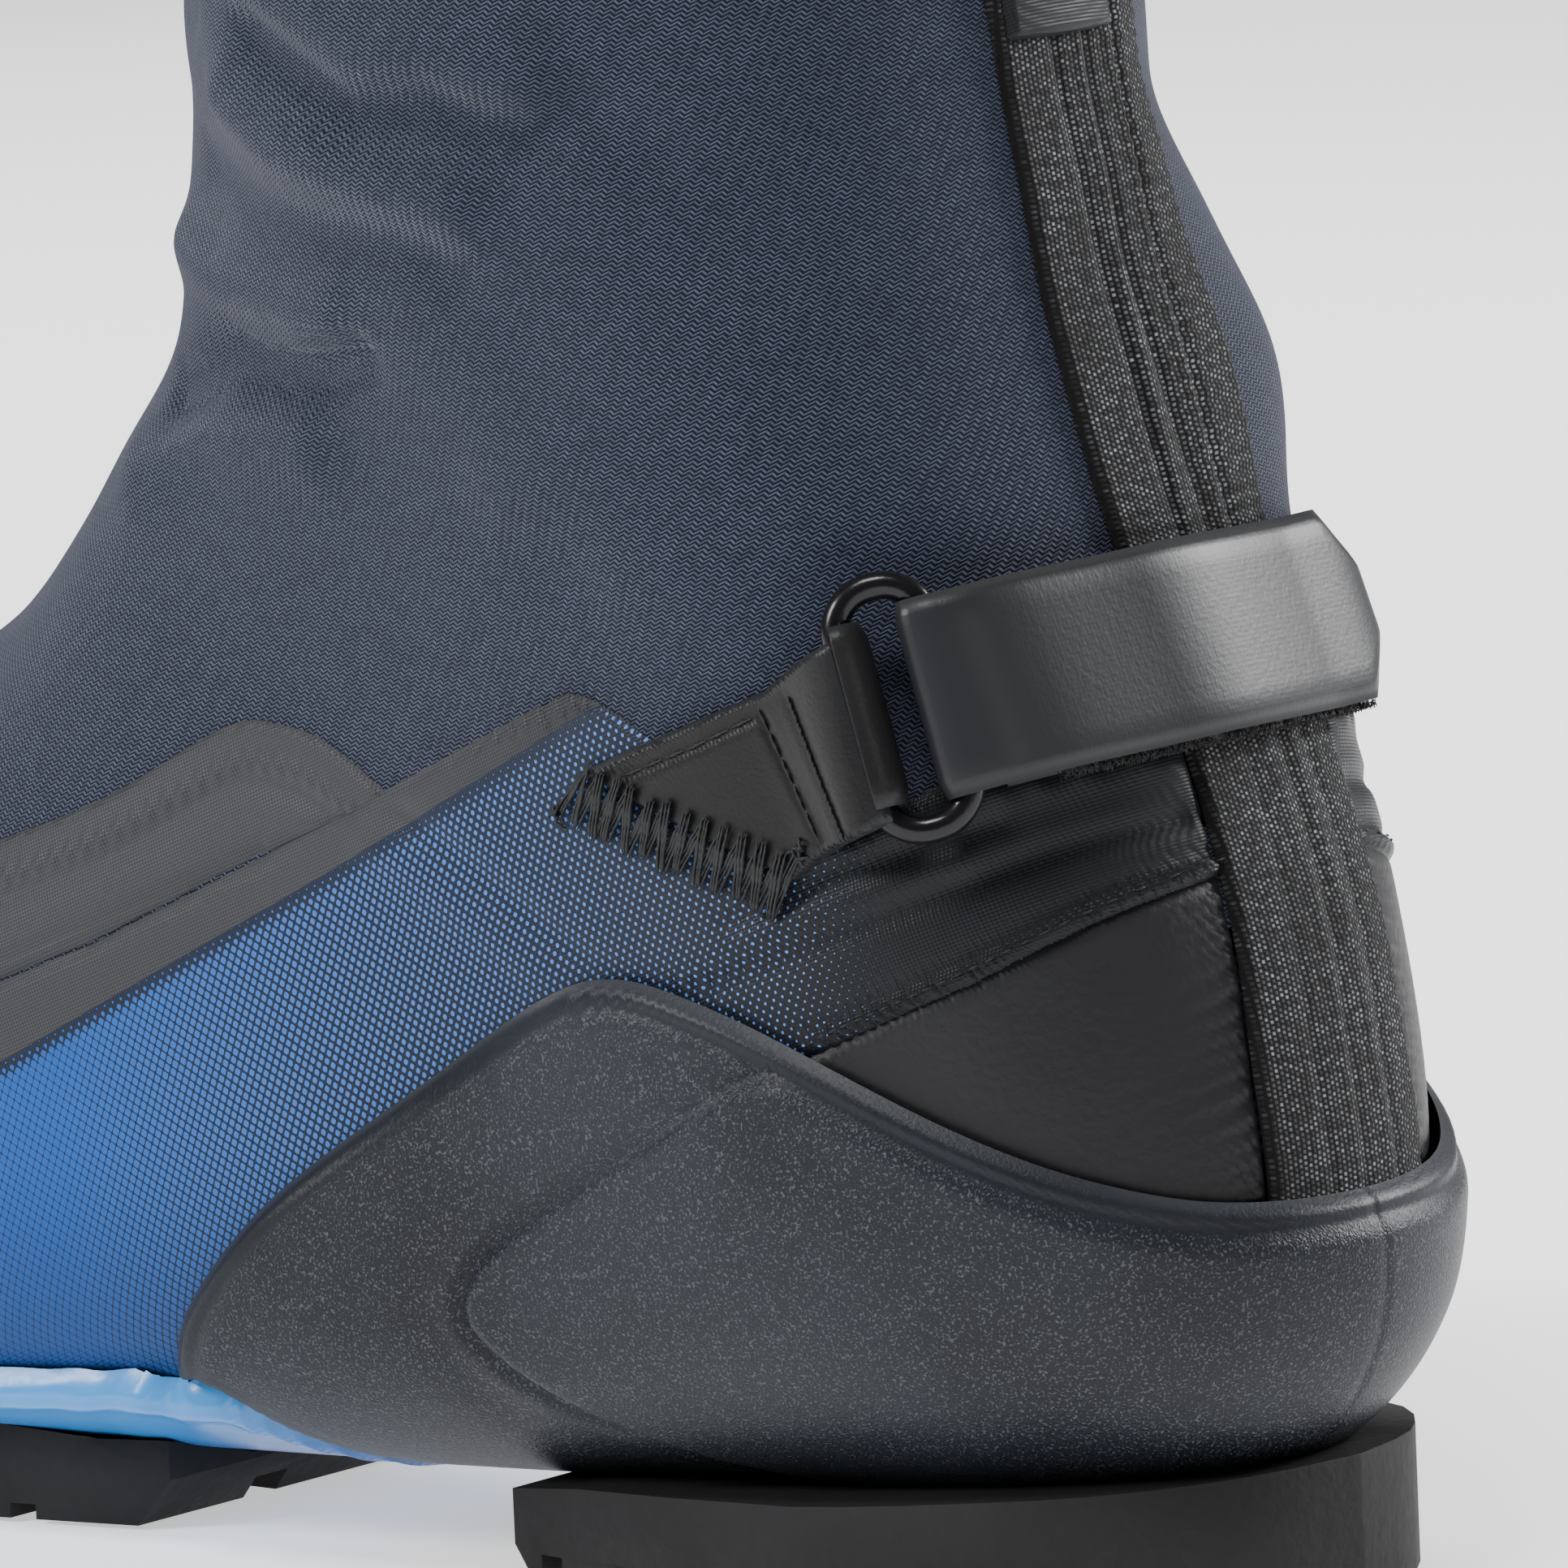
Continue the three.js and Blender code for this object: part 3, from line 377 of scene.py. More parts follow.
class Wire:
    # a shader socket that can be used in sums
    def __init__(self, tree, socket):
        self.tree, self.socket = tree, socket

    def node(self, kind, settings=(), **inputs):
        made = self.tree.nodes.new(kind)
        for key, value in dict(settings).items():
            setattr(made, key, value)
        for key, value in inputs.items():
            target = made.inputs[int(key[1:])] if key[1:].isdigit() else made.inputs[key.replace("_", " ")]
            if isinstance(value, Wire):
                self.tree.links.new(value.socket, target)
            else:
                target.default_value = value
        return made

    def maths(self, operation, *others):
        more = {f"i{k + 1}": other for k, other in enumerate(others)}
        made = self.node("ShaderNodeMath", {"operation": operation}, i0=self, **more)
        return Wire(self.tree, made.outputs[0])

    def __add__(self, other): return self.maths("ADD", other)
    def __sub__(self, other): return self.maths("SUBTRACT", other)
    def __mul__(self, other): return self.maths("MULTIPLY", other)
    def __truediv__(self, other): return self.maths("DIVIDE", other)
    def __radd__(self, other): return self + other
    def __rmul__(self, other): return self * other
    def __rsub__(self, other): return self * -1 + other
    def __gt__(self, other): return self.maths("GREATER_THAN", other)
    def size(self): return self.maths("ABSOLUTE")
    def floor(self): return self.maths("FLOOR")
    def part(self): return self.maths("FRACT")
    def power(self, n): return self.maths("POWER", n)
    def lower(self, other): return self.maths("MINIMUM", other)
    def upper(self, other): return self.maths("MAXIMUM", other)

    # 0 below low, 1 above high, smooth between
    def step(self, low, high):
        made = self.node("ShaderNodeMapRange", {"interpolation_type": "SMOOTHSTEP"},
                         Value=self, From_Min=low, From_Max=high)
        return Wire(self.tree, made.outputs[0])


class Paint:
    # one material and the sockets its pattern needs
    def __init__(self, name, roughness=0.5, metallic=0.0, **constants):
        self.material = bpy.data.materials.new(name)
        self.material.use_nodes = True
        self.tree = self.material.node_tree
        self.shader = self.tree.nodes["Principled BSDF"]
        self.root = Wire(self.tree, None)
        self.shader.inputs["Roughness"].default_value = roughness
        self.shader.inputs["Metallic"].default_value = metallic
        for key, value in constants.items():
            self.shader.inputs[key.replace("_", " ")].default_value = value
        self.coords = self.tree.nodes.new("ShaderNodeTexCoord")

    def wire(self, socket):
        return Wire(self.tree, socket)

    def split(self, socket):
        made = self.root.node("ShaderNodeSeparateXYZ", i0=self.wire(socket))
        return [self.wire(made.outputs[k]) for k in range(3)]

    # object position in mm, as three wires
    def place(self):
        return [w * 1000 for w in self.split(self.coords.outputs["Object"])]

    # position on the cloth in mm
    def cloth(self):
        return [w * 1000 for w in self.split(self.coords.outputs["UV"])][:2]

    def edge(self):
        made = self.root.node("ShaderNodeAttribute", {"attribute_name": "edge"})
        return self.wire(made.outputs["Fac"])

    def noise(self, scale, detail=2.0, rough=0.5, uv=False):
        source = self.wire(self.coords.outputs["UV" if uv else "Object"])
        made = self.root.node("ShaderNodeTexNoise",
                              Vector=source, Scale=scale, Detail=detail, Roughness=rough)
        return self.wire(made.outputs[0])

    def mix(self, share, one, two):
        made = self.tree.nodes.new("ShaderNodeMix")
        made.data_type = "RGBA"
        for target, value in ((made.inputs[0], share), (made.inputs[6], one), (made.inputs[7], two)):
            if isinstance(value, Wire):
                self.tree.links.new(value.socket, target)
            else:
                target.default_value = value if isinstance(value, (int, float)) else (*value, 1)
        return self.wire(made.outputs[2])

    def set(self, name, wire):
        if isinstance(wire, Wire):
            self.tree.links.new(wire.socket, self.shader.inputs[name])
        else:
            self.shader.inputs[name].default_value = (*wire, 1) if isinstance(wire, tuple) else wire

    # a random value for each whole cell
    def cell(self, column, row):
        joined = self.root.node("ShaderNodeCombineXYZ", i0=column.floor(), i1=row.floor())
        made = self.root.node("ShaderNodeTexWhiteNoise", {"noise_dimensions": "2D"},
                              i0=self.wire(joined.outputs[0]))
        return self.wire(made.outputs[0])

    # height in mm
    def bump(self, height, strength=1.0):
        made = self.root.node("ShaderNodeBump", Height=height, Strength=strength, Distance=mm)
        self.tree.links.new(made.outputs[0], self.shader.inputs["Normal"])


def triangleWave(wire):
    return (wire.part() - 0.5).size() * 2


# rows of chevron threads, in mm; columns lean as they climb
knitLook = {"row": 0.45, "wave": 1.2, "swing": 0.85, "lean": 0.42, "height": 0.13}


def softshellPaint():
    k = knitLook
    paint = Paint("softshellKnit", roughness=0.8, Sheen_Weight=0.12, Sheen_Roughness=0.4,
                  Specular_IOR_Level=0.18)
    u, v = paint.cloth()
    wander = paint.noise(45, 2.0, uv=True)
    column = (u + v * k["lean"] + wander * 0.7) / k["wave"]
    zig = triangleWave(column)
    row = v / k["row"] + zig * k["swing"] + wander * 1.2
    yarn = triangleWave(row)
    each = paint.cell(column * 2, row)
    turn = ((zig - 0.5).size() * 2).step(0.72, 1.0)
    lit = yarn.step(0.3, 0.85) * (each * 0.45 + 0.6) * (1 - turn * 0.45)
    broad = paint.noise(16, 3.0)
    base = paint.mix(lit, (0.0022, 0.0030, 0.0072), (0.074, 0.094, 0.155))
    paint.set("Base Color", paint.mix(broad.step(0.35, 0.75) * 0.2, base, (0.006, 0.009, 0.02)))
    paint.bump(yarn * k["height"] + each * 0.02 - turn * 0.04)
    return paint.material


def tapePaint():
    paint = Paint("ribbedTape", roughness=0.85, Sheen_Weight=0.08, Specular_IOR_Level=0.15)
    u, v = paint.cloth()
    wobble = paint.noise(230, 2.0, uv=True)
    column = u / 0.62 + wobble * 0.5
    row = v / 0.56 + wobble * 0.4 + (column.floor() * 0.5).part()
    each = paint.cell(column, row)
    across = (column.part() - 0.5).size()
    along = (row.part() - 0.5).size()
    bead = (1 - across.step(0.12, 0.4)) * (1 - along.step(0.16, 0.4))
    patchy = paint.noise(70, 3.0, uv=True).step(0.25, 0.75)
    bright = bead * (each.power(1.6) * 0.95 + 0.12) * (patchy * 0.5 + 0.5)
    rib = triangleWave(v / 1.8 + wobble * 0.25)
    edgeDark = paint.edge().step(0.3, 1.8)
    colour = paint.mix(bright, (0.0028, 0.0028, 0.0036), (0.30, 0.31, 0.33))
    colour = paint.mix((1 - rib.step(0.05, 0.4)) * 0.6, colour, (0.002, 0.002, 0.0025))
    paint.set("Base Color", paint.mix((1 - edgeDark) * 0.85, colour, (0.003, 0.003, 0.0035)))
    paint.bump(bead * 0.2 + rib * 0.1)
    return paint.material


# blue dots in a slanted lattice, large towards the toe and fading out to the heel, in mm
dotLook = {"pitch": 1.13, "slant": math.radians(-22), "fullX": 98, "endX": -9,
           "topZ": 104.2, "topSlope": 0.512}


def filmPaint(name, dots):
    paint = Paint(name, roughness=0.45, Specular_IOR_Level=0.16)
    x, _, z = paint.place()
    c, w = math.cos(dotLook["slant"]), math.sin(dotLook["slant"])
    along, across = x * c + z * w, z * c - x * w
    threads = triangleWave(along / 0.36) * 0.5 + triangleWave(across / 0.36) * 0.5
    cloudy = paint.noise(40, 3.0)
    # painted light: the grey is lighter towards the toe and darker towards the heel, where less light falls
    light = x.step(-6, 62)
    grey = paint.mix(light, (0.008, 0.0085, 0.0105), (0.052, 0.053, 0.058))
    grey = paint.mix(cloudy * 0.3, grey, (0.03, 0.031, 0.035))
    grey = paint.mix((1 - threads.step(0.25, 0.75)) * 0.55, grey, (0.006, 0.0065, 0.008))
    if not dots:
        colour = grey
    else:
        pitch = dotLook["pitch"]
        dense = ((x - dotLook["endX"]) / (dotLook["fullX"] - dotLook["endX"])).upper(0).lower(1)
        one, two = (along + across * 0.87) / pitch, (along - across * 0.87) / pitch
        near = ((one.part() - 0.5).power(2) + (two.part() - 0.5).power(2)).power(0.5)
        box = (one.part() - 0.5).size().upper((two.part() - 0.5).size())
        reach = (dense.power(1.15) * 0.33 + 0.135) * x.step(dotLook["endX"] - 2, dotLook["endX"] + 14)
        shape = near * (1 - dense * 0.75) + box * dense * 0.75
        fromTop = (x * dotLook["topSlope"] + z - dotLook["topZ"]) * -1
        shrink = fromTop.step(-0.5, 2.5)
        dot = 1 - (shape - reach * shrink).step(-0.03, 0.03)
        present = dot * (x > dotLook["endX"]) * (fromTop > 0)
        down = (46 - z).step(0, 30)
        blue = paint.mix(dense.power(0.8), (0.11, 0.27, 0.68), (0.009, 0.088, 0.36))
        blue = paint.mix(down * 0.8, blue, (0.006, 0.042, 0.17))
        ground = paint.mix(dense.step(0.0, 0.5) * (fromTop > 0) * 0.9, grey, (0.006, 0.012, 0.03))
        colour = paint.mix(present * 0.95, ground, blue)
    paint.set("Base Color", colour)
    paint.set("Roughness", paint.noise(24, 4.0) * 0.16 + 0.34)
    paint.bump(threads * 0.05 + paint.noise(900, 1.0) * 0.02)
    return paint.material


def grainPaint(name, dark, light, roughness, grain=0.06, scale=1400, paintedRimHighlight=0.0, paintedGlint=0.0):
    paint = Paint(name, Specular_IOR_Level=0.22)
    fine = paint.noise(scale, 2.0)
    cloud = paint.noise(30, 4.0)
    colour = paint.mix(cloud.step(0.3, 0.7), dark, light)
    height = fine * grain * 2 + paint.noise(scale * 0.35, 2.0) * grain
    if paintedGlint:
        # moulded spark texture: tiny facets in the bump, and painted glints that lighten the spots; smooth on
        # the rim's band
        spots = paint.noise(3600, 1.0, 0.4)
        inside = paint.edge().step(2.3, 3.4)
        colour = paint.mix(spots.step(0.56, 0.7) * inside * paintedGlint, colour, (0.10, 0.107, 0.125))
        height = height + spots * (inside * 0.75 + 0.25) * 0.11
    if paintedRimHighlight:
        # painted highlight: the rounded rim is lightened as if it caught the light
        rim = 1 - paint.edge().step(0.15, 1.2)
        colour = paint.mix(rim * paintedRimHighlight, colour, (0.035, 0.038, 0.045))
    paint.set("Base Color", colour)
    paint.set("Roughness", fine * 0.14 + cloud * 0.1 + (roughness - 0.12))
    paint.bump(height)
    return paint.material


def glossPlasticPaint(name, deep, bright):
    paint = Paint(name, Specular_IOR_Level=0.5, Coat_Weight=0.15, Coat_Roughness=0.2)
    x, _, z = paint.place()
    cloud = paint.noise(18, 3.0)
    low = 1 - z.step(4, 13)
    colour = paint.mix(low * 0.8, bright, deep)
    shade = (100 - x).step(0, 26) * z.step(19, 6)
    colour = paint.mix(shade * 0.75, colour, deep)
    paint.set("Base Color", paint.mix(cloud * 0.15, colour, (0.02, 0.10, 0.30)))
    paint.set("Roughness", cloud * 0.12 + 0.2)
    paint.bump(paint.noise(600, 2.0) * 0.03)
    return paint.material


def webPaint(name, dark, light, pitch=0.8):
    paint = Paint(name, roughness=0.8, Sheen_Weight=0.1, Specular_IOR_Level=0.3)
    x, y, z = paint.place()
    row = (z + x * 0.25) / pitch
    rows = triangleWave(row)
    columns = triangleWave((y + x * 0.6) / pitch + (row.floor() * 0.5).part())
    weave = rows * columns
    paint.set("Base Color", paint.mix(weave, dark, light))
    paint.bump(weave * 0.16 + paint.noise(2500, 1.0) * 0.05)
    return paint.material


def satinPaint(name, dark, light):
    paint = Paint(name, Specular_IOR_Level=0.3)
    u, v = paint.cloth()
    cloud = paint.noise(22, 3.0)
    weave = triangleWave(u / 0.5) * triangleWave(v / 0.5)
    rim = 1 - paint.edge().step(0.2, 0.9)
    colour = paint.mix(cloud, dark, light)
    paint.set("Base Color", paint.mix(rim * 0.55, colour, (0.012, 0.013, 0.015)))
    paint.set("Roughness", cloud * 0.14 + rim * 0.25 + 0.34)
    paint.bump(weave * 0.006 + paint.noise(1500, 2.0) * 0.03)
    return paint.material


def metalPaint(name, colour, roughness, metallic=1.0):
    paint = Paint(name, metallic=metallic)
    cloud = paint.noise(300, 3.0)
    paint.set("Base Color", paint.mix(cloud * 0.3, colour, tuple(c * 0.6 for c in colour)))
    paint.set("Roughness", cloud * 0.15 + roughness)
    paint.bump(paint.noise(1200, 2.0) * 0.02)
    return paint.material


def threadPaint(name, dark, light):
    paint = Paint(name, roughness=0.6, Specular_IOR_Level=0.4)
    twist = paint.noise(1800, 1.0)
    paint.set("Base Color", paint.mix(twist, dark, light))
    paint.bump(twist * 0.08)
    return paint.material


def liningPaint():
    paint = Paint("meshLining", roughness=0.92, Sheen_Weight=0.2, Specular_IOR_Level=0.2)
    u, v = paint.cloth()
    holes = triangleWave(u / 1.4) * triangleWave(v / 1.4 + ((u / 1.4).floor() * 0.5).part())
    paint.set("Base Color", paint.mix(holes.step(0.2, 0.7), (0.010, 0.011, 0.014), (0.045, 0.049, 0.058)))
    paint.bump(holes * 0.3)
    return paint.material


softshellKnit = softshellPaint()
ribbedTape = tapePaint()
dottedFilm = filmPaint("dottedFilm", True)
greyFilm = filmPaint("greyFilm", False)
panelSkin = grainPaint("heelPanelSkin", (0.0085, 0.0085, 0.010), (0.013, 0.0132, 0.0155), 0.5, 0.05,
                       1100)
# for the cup, the tab and the toe cap the number after the grain scale is the share of painted rim highlight;
# the cup's last number is its share of painted glints
cupPlastic = grainPaint("cupPlastic", (0.006, 0.0072, 0.011), (0.014, 0.0165, 0.023), 0.44, 0.02, 2200,
                        0.5, 0.55)
tabLeather = grainPaint("tabLeather", (0.006, 0.006, 0.0065), (0.012, 0.012, 0.013), 0.4, 0.025, 2400, 0.3)
pileBlack = threadPaint("pileBlack", (0.002, 0.002, 0.0025), (0.009, 0.009, 0.011))
capRubber = grainPaint("toeCapRubber", (0.007, 0.007, 0.008), (0.013, 0.013, 0.015), 0.55, 0.05, 900, 0.4)
soleRubber = grainPaint("soleRubber", (0.006, 0.006, 0.0065), (0.012, 0.012, 0.013), 0.68, 0.06, 700)
skyPlastic = glossPlasticPaint("skyPlastic", (0.004, 0.05, 0.26), (0.045, 0.27, 0.66))
blackWebbing = webPaint("blackWebbing", (0.003, 0.003, 0.004), (0.02, 0.021, 0.025))
strapSatin = satinPaint("strapSatin", (0.010, 0.0105, 0.012), (0.017, 0.018, 0.021))
wireEnamel = metalPaint("wireEnamel", (0.012, 0.012, 0.014), 0.16, 0.55)
barSteel = metalPaint("barSteel", (0.55, 0.56, 0.57), 0.22)
blackThread = threadPaint("blackThread", (0.0025, 0.0025, 0.003), (0.016, 0.017, 0.02))
hardBlack = grainPaint("hardBlack", (0.006, 0.006, 0.007), (0.011, 0.011, 0.013), 0.36, 0.02, 1500)
lining = liningPaint()
boardFibre = grainPaint("boardFibre", (0.16, 0.14, 0.11), (0.24, 0.22, 0.17), 0.85, 0.1, 800)
lacePaint = threadPaint("laceBraid", (0.05, 0.055, 0.065), (0.16, 0.175, 0.2))
print("materials made")

seamTop = [(300, 20), (232, 27), (200, 33), (160, 41), (125, 51), (94, 62.8), (73, 72.5), (56, 80.4)]
peakLine = smoothCurve([(56, 80.4), (41, 87.2), (30.5, 91.8), (27, 92.4), (22, 90.6), (13, 85), (4, 80.6),
                        (-3, 79.4), (-10, 83.5), (-22, 91), (-60, 101)], 6)
panelEdge = [(-60, 86.5), (-29.5, 74), (-15.4, 65.4), (0.3, 58.1), (30, 44), (44, 34), (52, 16), (52, -20)]
filmOutline = np.array(seamTop + [tuple(p) for p in peakLine] + panelEdge + [(300, -20)])
heelOutline = np.array(panelEdge + [(-60, -20)])
# what shows through the film: the counter's edges and creases under the ring, height and width in mm
embossLines = [
    ([(62, 82), (54.9, 80), (41, 72.4), (28.5, 65.3), (17, 62.4)], -0.4, 1.5),
    ([(58, 76), (46, 70), (30, 61)], 0.3, 2.2),
    ([(20, 61.5), (4.6, 67.2), (-8.6, 72.6), (-20.4, 77.6), (-28, 80)], -0.65, 1.1),
    ([(16, 65), (0, 71.5), (-14, 77)], 0.5, 1.3),
    ([(10, 71), (-4, 76.5), (-16, 80.5)], -0.55, 1.0),
    ([(2, 79), (-10, 82), (-24, 84.5)], 0.5, 1.6),
    ([(-4, 84), (-16, 86.5), (-26, 88)], -0.4, 1.2),
]
instepSeam = [(71.5, 74), (78, 71.2), (94, 64.6), (126, 53), (161, 43)]
bumpRow = [(-3, 81.5), (-14, 84), (-26, 86)]
instepLine = smoothCurve([(54, 80), (63, 84.8), (70, 86.3), (78, 85.6), (95, 77), (118, 69), (150, 57),
                          (190, 43), (240, 30)], 8)
instepOutline = np.vstack([instepLine, np.array(seamTop[1:-1]) + (0, 0.3)])
cupRim = smoothCurve([(-60, 41), (-38, 41.6), (-24, 46), (0, 57.6), (13, 62.4), (24, 64.2), (34, 61.4),
                      (50, 51.8), (70, 38.8), (82, 27.4), (87.6, 19)], 8)
cupFoot = [(-60, 9.3), (65.5, 9.3), (69, 11.1), (74, 14.3), (79, 17.3), (82, 18.8), (86.8, 18.9)]
cupOutline = np.vstack([cupRim, cupFoot[-2::-1]])
cupGroove = smoothCurve([(1.6, 57.6), (9.2, 55), (20.6, 48.7), (38.5, 38.4), (44.4, 33.6), (46.2, 30),
                         (44.6, 26.6), (39, 22.6), (28, 17.6), (12, 13.6)], 8)
chassisTop = [(-14, 9)] + [(x, z - 0.3) for x, z in cupFoot[1:]] + [
    (89, 18.2), (92, 19.0), (100, 18.6), (120, 17.6), (180, 17), (222, 18), (245, 23), (300, 27)]
chassisOutline = np.array([(-14, -10)] + chassisTop + [(300, -10)])
capOutline = np.vstack([[(222, 18.4), (245, 23.4), (300, 27.4), (300, 90), (246, 90)],
                        smoothCurve([(243, 72), (238, 54), (231, 36), (222, 24)], 6)])
tapeHalf = 11.6


# the tape drifts a little to the inner side as it climbs
def fromTape(p):
    z = p[..., 2]
    return np.abs(p[..., 1] + 3.2 * smoothstep(z, 50, 90) - 1.8 * smoothstep(z, 150, 182))


def collarDrop(p):
    return 168 + 22 / 99.6 * (p[..., 0] + 2) - p[..., 2]


def roundEdge(depth, low, high, width):
    f = np.clip(depth / width, 0, 1)
    return low + (high - low) * np.sqrt(1 - (1 - f) ** 2)


zipSlot, zipFoot = 8.5, 124  # half width and lowest z of the cover's opening


def makeCover():
    for name, side, node in (("coverOuter", 1, "cover_lateral"), ("coverInner", -1, "cover_medial")):
        grid = hung(layOut(0.4, 16.1, 0 if side > 0 else -pi, pi if side > 0 else 0, 1.0), side)

        def keep(p, a):
            hidden = depthIn(p[:, 0], p[:, 2], filmOutline)
            hidden = np.maximum(hidden, depthIn(p[:, 0], p[:, 2], heelOutline))
            front = np.where(p[:, 0] > 60, np.abs(p[:, 1]) - zipSlot, 99)
            front = np.where(p[:, 2] > zipFoot, front, np.maximum(front, zipFoot - p[:, 2]))
            return np.minimum.reduce([5 - hidden, collarDrop(p) - 4.6, front, 262 - p[:, 0]])

        def lift(p, a, depth):
            front = np.where((p[:, 0] > 60) & (p[:, 2] > zipFoot - 2), np.abs(p[:, 1]) - zipSlot, 99)
            roll = roundEdge(np.clip(front, 0, 9), -1.2, 0, 1.4)
            seam = np.exp(-((np.abs(p[:, 1]) - 0.4) / 0.7) ** 2) * (p[:, 0] > 104) * (p[:, 2] < zipFoot)
            return foldHeight(p, a) * smoothstep(front, 0, 10) + roll - 0.55 * seam

        outer = trimmed(name, grid, keep, lift, softshellKnit)
        settle(outer, "boot", "softshell", node)
        lineGrid = layOut(10.5, 16.1, 0 if side > 0 else -pi, pi if side > 0 else 0, 3.0)

        def keepLining(p, a):
            front = np.where(p[:, 0] > 60, np.abs(p[:, 1]) - zipSlot, 99)
            return np.minimum(collarDrop(p) - 2, front)

        backing = trimmed(name + "Backing", lineGrid, keepLining,
                          lambda p, a, d: foldHeight(p, a) - 1.4, lining, flip=True)
        settle(backing, "boot", "softshell")


def makeBinding():
    # the collar's elastic edge: a rounded strip folded over the rim
    steps, ringCount = 220, 14
    front = math.asin(9.2 / 44)
    angles = np.linspace(-pi + front, pi - front, steps)
    points = []
    for a in angles:
        t = np.array([15.9])
        p = onLast(t, np.array([a]))[0]
        out = normalAt(t, np.array([a]))[0]
        up = unit(np.cross(out, unit(onLast(t, np.array([a + 0.02]))[0] - p)))
        up = up if up[2] > 0 else -up
        for j in range(ringCount):
            turn = 2 * pi * j / ringCount
            wide = 1.25 * np.sign(math.cos(turn)) * abs(math.cos(turn)) ** 0.7
            tall = 2.9 * np.sign(math.sin(turn)) * abs(math.sin(turn)) ** 0.8
            points.append(p + out * (wide - 0.65) + up * (tall - 0.4))
    piece = meshPiece("collarBinding", points, tube(steps, ringCount), blackWebbing)
    outward(piece)
    settle(piece, "boot", "webbing", "collar_binding")


def faceOut(work):
    bmesh.ops.recalc_face_normals(work, faces=work.faces)


def outward(piece):
    def tidied(work):
        bmesh.ops.remove_doubles(work, verts=work.verts, dist=1e-6)
        faceOut(work)

    return reworked(piece, tidied)


def makePanels():
    for word, side in (("lateral", 1), ("medial", -1)):
        def away(p, side=side):
            return fromTape(p) * np.where(p[:, 1] * side > -5, 1, -1) - tapeHalf - 0.1

        def underCup(p):
            return 5 - depthIn(p[:, 0], p[:, 2], cupOutline)

        def underChassis(p):
            return 4 - depthIn(p[:, 0], p[:, 2], chassisOutline)

        span = (0.02, pi) if side > 0 else (-pi, -0.02)
        grid = layOut(0.5, 14.0, *span, 0.85)

        def keepFilm(p, a):
            inside = depthIn(p[:, 0], p[:, 2], filmOutline)
            return np.minimum.reduce([inside, away(p), underCup(p), underChassis(p), 250 - p[:, 0]])

        def liftFilm(p, a, depth):
            x, z = p[:, 0], p[:, 2]
            own = np.minimum(depthIn(x, z, filmOutline), away(p))
            low = lineDistance(x, z, panelEdge[:5])
            piping = 0.6 * np.exp(-((low - 1.0) / 0.55) ** 2) - 0.4 * np.exp(-((low - 2.3) / 0.6) ** 2)
            relief = sum(h * np.exp(-(lineDistance(x, z, line) / w) ** 2) for line, h, w in embossLines)
            knots = 0.3 * np.exp(-(lineDistance(x, z, bumpRow) / 1.3) ** 2)
            knots = knots * (0.5 + 0.5 * np.sin((x - z * 0.5) * 2.4))
            clear = smoothstep(-depthIn(x, z, cupOutline), -0.4, 1.6)
            relief = (relief + knots) * smoothstep(own, 0, 3)
            return roundEdge(own, 0.0, 0.75, 0.8) + (piping + relief) * clear

        film = trimmed(f"sideFilm_{word}", grid, keepFilm, liftFilm, dottedFilm)
        settle(film, "boot", "blue_film", f"side_film_{word}")

        def keepInstep(p, a):
            return np.minimum(depthIn(p[:, 0], p[:, 2], instepOutline), away(p))

        def liftInstep(p, a, depth):
            x, z = p[:, 0], p[:, 2]
            seam = depthIn(x, z, instepOutline)
            fromTop = lineDistance(x, z, instepLine)
            bumps = np.exp(-((fromTop - 4.2) / 0.9) ** 2) * (0.5 + 0.5 * np.sin(x * 2 * pi / 2.1))
            valley = np.exp(-((fromTop - 6.0) / 1.2) ** 2) * 0.3
            crease = 0.45 * np.exp(-(lineDistance(x, z, instepSeam) / 0.45) ** 2)
            return roundEdge(seam, 0.0, 0.7, 0.8) + 0.35 * bumps - valley - crease

        grid = layOut(1.0, 12.0, *((0.4, pi) if side > 0 else (-pi, -0.4)), 0.6)
        patch = trimmed(f"instepFilm_{word}", grid, keepInstep, liftInstep, greyFilm)
        settle(patch, "boot", "grey_film", f"instep_film_{word}")

        def keepPanel(p, a):
            return np.minimum.reduce([depthIn(p[:, 0], p[:, 2], heelOutline), away(p), underCup(p)])

        def liftPanel(p, a, depth):
            top = depthIn(p[:, 0], p[:, 2], heelOutline)
            beside = away(p)
            wave = np.sin(p[:, 2] * 2 * pi / 2.1 + 1.4 * np.sin(p[:, 2] * 0.55) + beside * 0.7)
            pucker = np.exp(-np.maximum(beside, 0) / 2.6) * np.minimum(wave, 0.2) * 0.6
            broad = 0.5 * np.exp(-((p[:, 0] - 4) / 12) ** 2 - ((p[:, 2] - 52) / 9) ** 2)
            pucker = pucker * smoothstep(beside, 0, 0.8)
            return roundEdge(np.minimum(top, beside), -0.1, 0.6, 1.2) + pucker + broad

        grid = layOut(8.3, 12.6, *((0.02, 2.2) if side > 0 else (-2.2, -0.02)), 0.6)
        panel = trimmed(f"heelPanel_{word}", grid, keepPanel, liftPanel, panelSkin)
        settle(panel, "boot", "suede", f"heel_panel_{word}")


# across the tape in mm: where, how wide and how high
tapeCreases = [(-5.4, 0.8, -0.6), (-3.6, 0.9, 0.4), (-0.6, 0.8, -0.55), (1.4, 0.9, 0.35), (4.2, 0.7, -0.4)]


